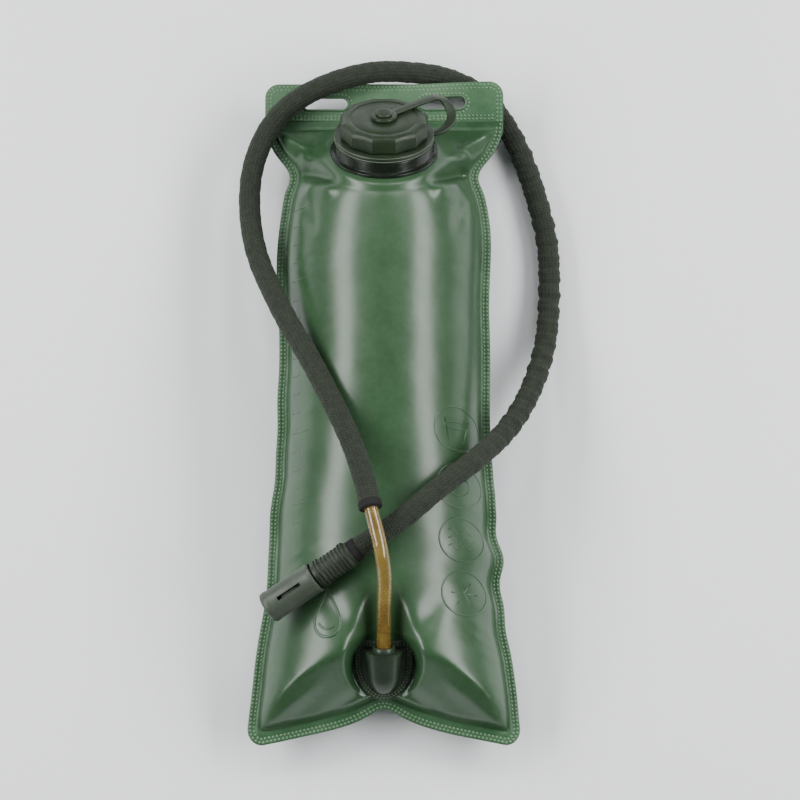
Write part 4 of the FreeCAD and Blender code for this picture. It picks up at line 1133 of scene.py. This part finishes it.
def sleeve_radius(s, angle):
    """The knit clings and bunches: fine gathers everywhere, deeper where the hose turns back."""
    bunch = 0.15 + 0.42 * float(smoothstep(470, 560, s) * smoothstep(840, 760, s))
    gathers = math.sin(s * 0.55 + 1.1 * math.sin(angle + s * 0.02))
    gathers *= 0.65 + 0.35 * math.sin(s * 0.13 + 1)
    gathers += 0.4 * math.sin(s * 1.27 + 0.9 * math.sin(angle * 2 + 1))
    slack = math.sin(angle + s * 0.016) * math.sin(s * 0.09)
    ease = float(smoothstep(SLEEVE_FROM, SLEEVE_FROM + 8, s) * smoothstep(SLEEVE_TO, SLEEVE_TO - 8, s))
    return 6.85 + ease * (bunch * gathers + 0.28 * slack)


sleeve, sleeve_path = swept("sleeve_knitted", SLEEVE_FROM, SLEEVE_TO, sleeve_radius, KNIT,
                            30, 0.9)
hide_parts("hose_sleeve")


def hem_radius(start, end):
    def radius(s, angle):
        middle = (s - start) / (end - start)
        return 6.9 + 0.6 * math.sqrt(max(0.0, 1 - (2 * middle - 1) ** 4)) + 0.06 * math.sin(angle * 30)
    return radius


hem_low, _ = swept("hem_near_outlet", SLEEVE_FROM - 5, SLEEVE_FROM,
                   hem_radius(SLEEVE_FROM - 5, SLEEVE_FROM), HEM, 60, 0.5)
hem_high, _ = swept("hem_near_valve", SLEEVE_TO, HOSE_LENGTH, hem_radius(SLEEVE_TO, HOSE_LENGTH), HEM,
                    60, 0.5)
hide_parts("sleeve_end_lower")
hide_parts("sleeve_end_upper")


# ------------------------------------------------------------------------------------- bite valve
def seat_along(origin, axis):
    """A seat whose Z runs along an axis and whose Y stays as level as it can."""
    z = axis.normalized()
    x = Vector((0, 0, 1)).cross(z).normalized()
    y = z.cross(x)
    seat = Matrix((x, y, z)).transposed().to_4x4()
    seat.translation = origin
    return seat


valve_seat = seat_along(Vector(ROUTE[-1]), VALVE_AXIS)
stem_profile = [(1.8, -14.0), (2.7, -14.0), (3.4, -11.5), (2.9, -11.2), (3.4, -7.5), (3.0, -7.2),
                (3.0, 4.0), (6.0, 4.0), (6.0, 27.4), (1.8, 27.4)]
stem = lathe("valve_core", stem_profile, valve_seat, BARB, bevel=0.15)
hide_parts("valve_stem")


def grip_profile():
    """The moulded grip: a waist, two rings at each end and a ribbed middle."""
    outer = [(6.3, 0.0), (7.1, 0.0), (7.5, 0.4), (7.5, 2.0), (8.3, 2.4)]
    for low in (2.8, 4.9):
        outer += [(8.4, low), (9.1, low + 0.25), (9.25, low + 0.8), (9.1, low + 1.35), (8.4, low + 1.6)]
    for k in range(5):
        base = 7.4 + k * 2.7
        outer += [(8.0, base), (8.5, base + 0.3), (8.6, base + 0.9), (8.5, base + 1.6), (8.0, base + 2.0)]
    for low in (21.2, 23.4):
        outer += [(8.4, low), (9.1, low + 0.25), (9.25, low + 0.8), (9.1, low + 1.35), (8.4, low + 1.6)]
    outer += [(8.4, 26.6), (8.2, 27.2), (7.7, 27.6), (6.3, 27.6)]
    return outer


grip = lathe("valve_sleeve_grip", grip_profile(), valve_seat, GRIP, bevel=0.08, turns=96)
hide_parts("valve_grip")


def flattened(radius, height, angle):
    return radius * (1 - 0.12 * float(smoothstep(33, 52, height)) * math.sin(angle) ** 2)


mouth_profile = [(4.6, 27.8), (6.2, 27.8), (6.6, 28.4), (6.2, 30.0), (6.2, 38.5), (7.0, 40.0),
                 (7.6, 42.0), (7.6, 50.5), (7.0, 53.2), (5.6, 54.5), (4.2, 54.6), (4.2, 40.0)]
mouth = lathe("bite_sleeve", mouth_profile, valve_seat, SILICONE, bevel=0.2,
              facets=flattened)
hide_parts("mouthpiece")
disc_profile = [(0.05, 52.0), (4.3, 52.0), (4.3, 53.4), (0.05, 53.2)]
bite = lathe("bite_slit_disc", disc_profile, valve_seat, SILICONE, bevel=0.15)
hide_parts("bite_disc")


def cover():
    """The dust cover: a thin cup with two long slots and a rolled rim at its closed end."""
    profile = [(8.85, 27.9), (9.9, 27.9), (10.15, 28.3), (10.15, 30.2), (9.9, 30.5), (9.9, 58.6),
               (10.0, 60.0), (10.15, 60.6), (10.15, 62.6), (9.6, 63.9), (8.4, 64.55), (6.8, 64.6),
               (0.05, 64.6), (0.05, 63.3), (8.2, 63.2), (8.75, 62.4), (8.75, 60.0)]
    shell = lathe("cover_cup", profile, valve_seat, COVER, "cover", 144, 0.15)
    cutters = []
    for sign in (1, -1):
        bpy.ops.mesh.primitive_cube_add(size=1)
        block = bpy.context.object
        centre = valve_seat @ Vector((0, sign * 10, 45.5))
        turned = Matrix.Translation(centre * MM) @ valve_seat.to_3x3().to_4x4()
        block.matrix_world = turned @ Matrix.Diagonal((2.4 * MM, 8 * MM, 17 * MM, 1))
        cutters.append(block)
    for block in cutters:
        settle(shell, ("BOOLEAN", {"object": block, "operation": "DIFFERENCE", "solver": "EXACT"}))
    for block in cutters:
        bpy.data.objects.remove(block)
    keep_creases(shell, 35)
    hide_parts("dust_cover")


cover()


# --------------------------------------------------------------------- embossed marks on the front
def drape(places, radius, sink=0.25):
    """A bead that follows the front film along plan places."""
    line = []
    for x, y in places:
        spot, normal = on_front(x, y)
        line.append((spot - normal * sink * radius, normal))
    return line


def marks():
    points, faces = [], []

    def add(line, radius, closed=False):
        some, more = bead(line, radius, closed=closed, squash=0.8)
        faces.extend([k + len(points) for k in f] for f in more)
        points.extend(some)

    def arc(cx, cy, rx, ry, start, end, count):
        return [(cx + rx * math.cos(math.radians(a)), cy + ry * math.sin(math.radians(a)))
                for a in np.linspace(start, end, count)]

    # four rings with a plain sign in each
    for cx, cy in ((45.5, -19), (47, -55), (48.5, -89), (50, -123)):
        add(drape(arc(cx, cy, 14, 14, 0, 355, 80), 0.7), 0.7, True)
    add(drape([(38, -13), (41, -27), (50, -27), (53, -13)], 0.6), 0.6)
    add(drape(arc(45.5, -17, 7.5, 2.2, 0, 355, 24), 0.5), 0.5, True)
    add(drape(arc(47, -55, 6.5, 6.5, 0, 355, 40), 0.6), 0.6, True)
    add(drape([(42.4, -59.6), (51.6, -50.4)], 0.6), 0.6)
    for k in (-5, 0, 5):
        wave = [(48.5 + x, -89 + k + 1.4 * math.sin(x * 0.75)) for x in np.linspace(-8, 8, 25)]
        add(drape(wave, 0.5), 0.5)
    for a in range(0, 180, 60):
        c, s = math.cos(math.radians(a)) * 8, math.sin(math.radians(a)) * 8
        add(drape([(50 - c, -123 - s), (50, -123), (50 + c, -123 + s)], 0.55), 0.55)
    # a water drop low on the left
    drop = []
    for k in np.linspace(0, 2 * math.pi, 90)[:-1]:
        drop.append((-35 + 11 * math.sin(k) * math.sin(k / 2) ** 1.4, -137 + 15 * math.cos(k)))
    add(drape(drop, 1.1), 1.1, True)
    add(drape(arc(-35, -141, 5.5, 6, 200, 320, 20), 0.9), 0.9)
    # level marks up the left side
    for y in (127, 79, 30, -19, -65):
        add(drape([(-57 + k, y) for k in np.linspace(0, 9, 12)], 0.6), 0.6)
        for minor in (12, 24, 36):
            if y - minor > -80:
                add(drape([(-57 + k, y - minor) for k in np.linspace(0, 4, 6)], 0.45), 0.45)
    piece_from("film_marks", points, faces, FILM)


marks()


# ------------------------------------------------------------------------------------------ studio
def studio():
    bpy.ops.mesh.primitive_plane_add(size=12, location=(0, 0, -0.0006))
    floor = bpy.context.object
    floor.name = "studio_floor"
    floor.data.materials.append(floor_finish())
    world = bpy.data.worlds.new("studio")
    bpy.context.scene.world = world
    world.use_nodes = True
    background = world.node_tree.nodes["Background"]
    background.inputs["Color"].default_value = (0.93, 0.96, 1.0, 1)
    background.inputs["Strength"].default_value = 0.16

    def softbox(name, place, target, width, height, power, colour=(1, 1, 1)):
        light = bpy.data.lights.new(name, "AREA")
        light.shape, light.size, light.size_y = "RECTANGLE", width, height
        light.energy, light.color = power, colour
        lamp = bpy.data.objects.new(name, light)
        bpy.context.scene.collection.objects.link(lamp)
        lamp.location = place
        heading = Vector(target) - Vector(place)
        lamp.rotation_euler = heading.to_track_quat("-Z", "Y").to_euler()

    softbox("left_strip", (-1.15, 0.10, 1.00), (0, 0, 0.04), 2.0, 0.50, 36)
    softbox("right_strip", (1.15, 0.10, 1.00), (0, 0, 0.04), 2.0, 0.50, 36)
    softbox("overhead_left", (-0.7, 1.5, 2.0), (0, 0, 0.02), 0.9, 0.9, 15)
    softbox("overhead_right", (0.7, 1.5, 2.0), (0, 0, 0.02), 0.9, 0.9, 15)
    camera = bpy.data.cameras.new("catalogue")
    distance, field = 4.0, 0.506
    camera.sensor_width = 36
    camera.lens = camera.sensor_width * distance / field
    eye = bpy.data.objects.new("catalogue", camera)
    bpy.context.scene.collection.objects.link(eye)
    target = Vector((0.0101, 0.0073, 0.022))
    elevation = math.radians(78)
    eye.location = target + Vector((0, -math.cos(elevation), math.sin(elevation))) * distance
    eye.rotation_euler = (target - eye.location).to_track_quat("-Z", "Y").to_euler()
    bpy.context.scene.camera = eye


studio()
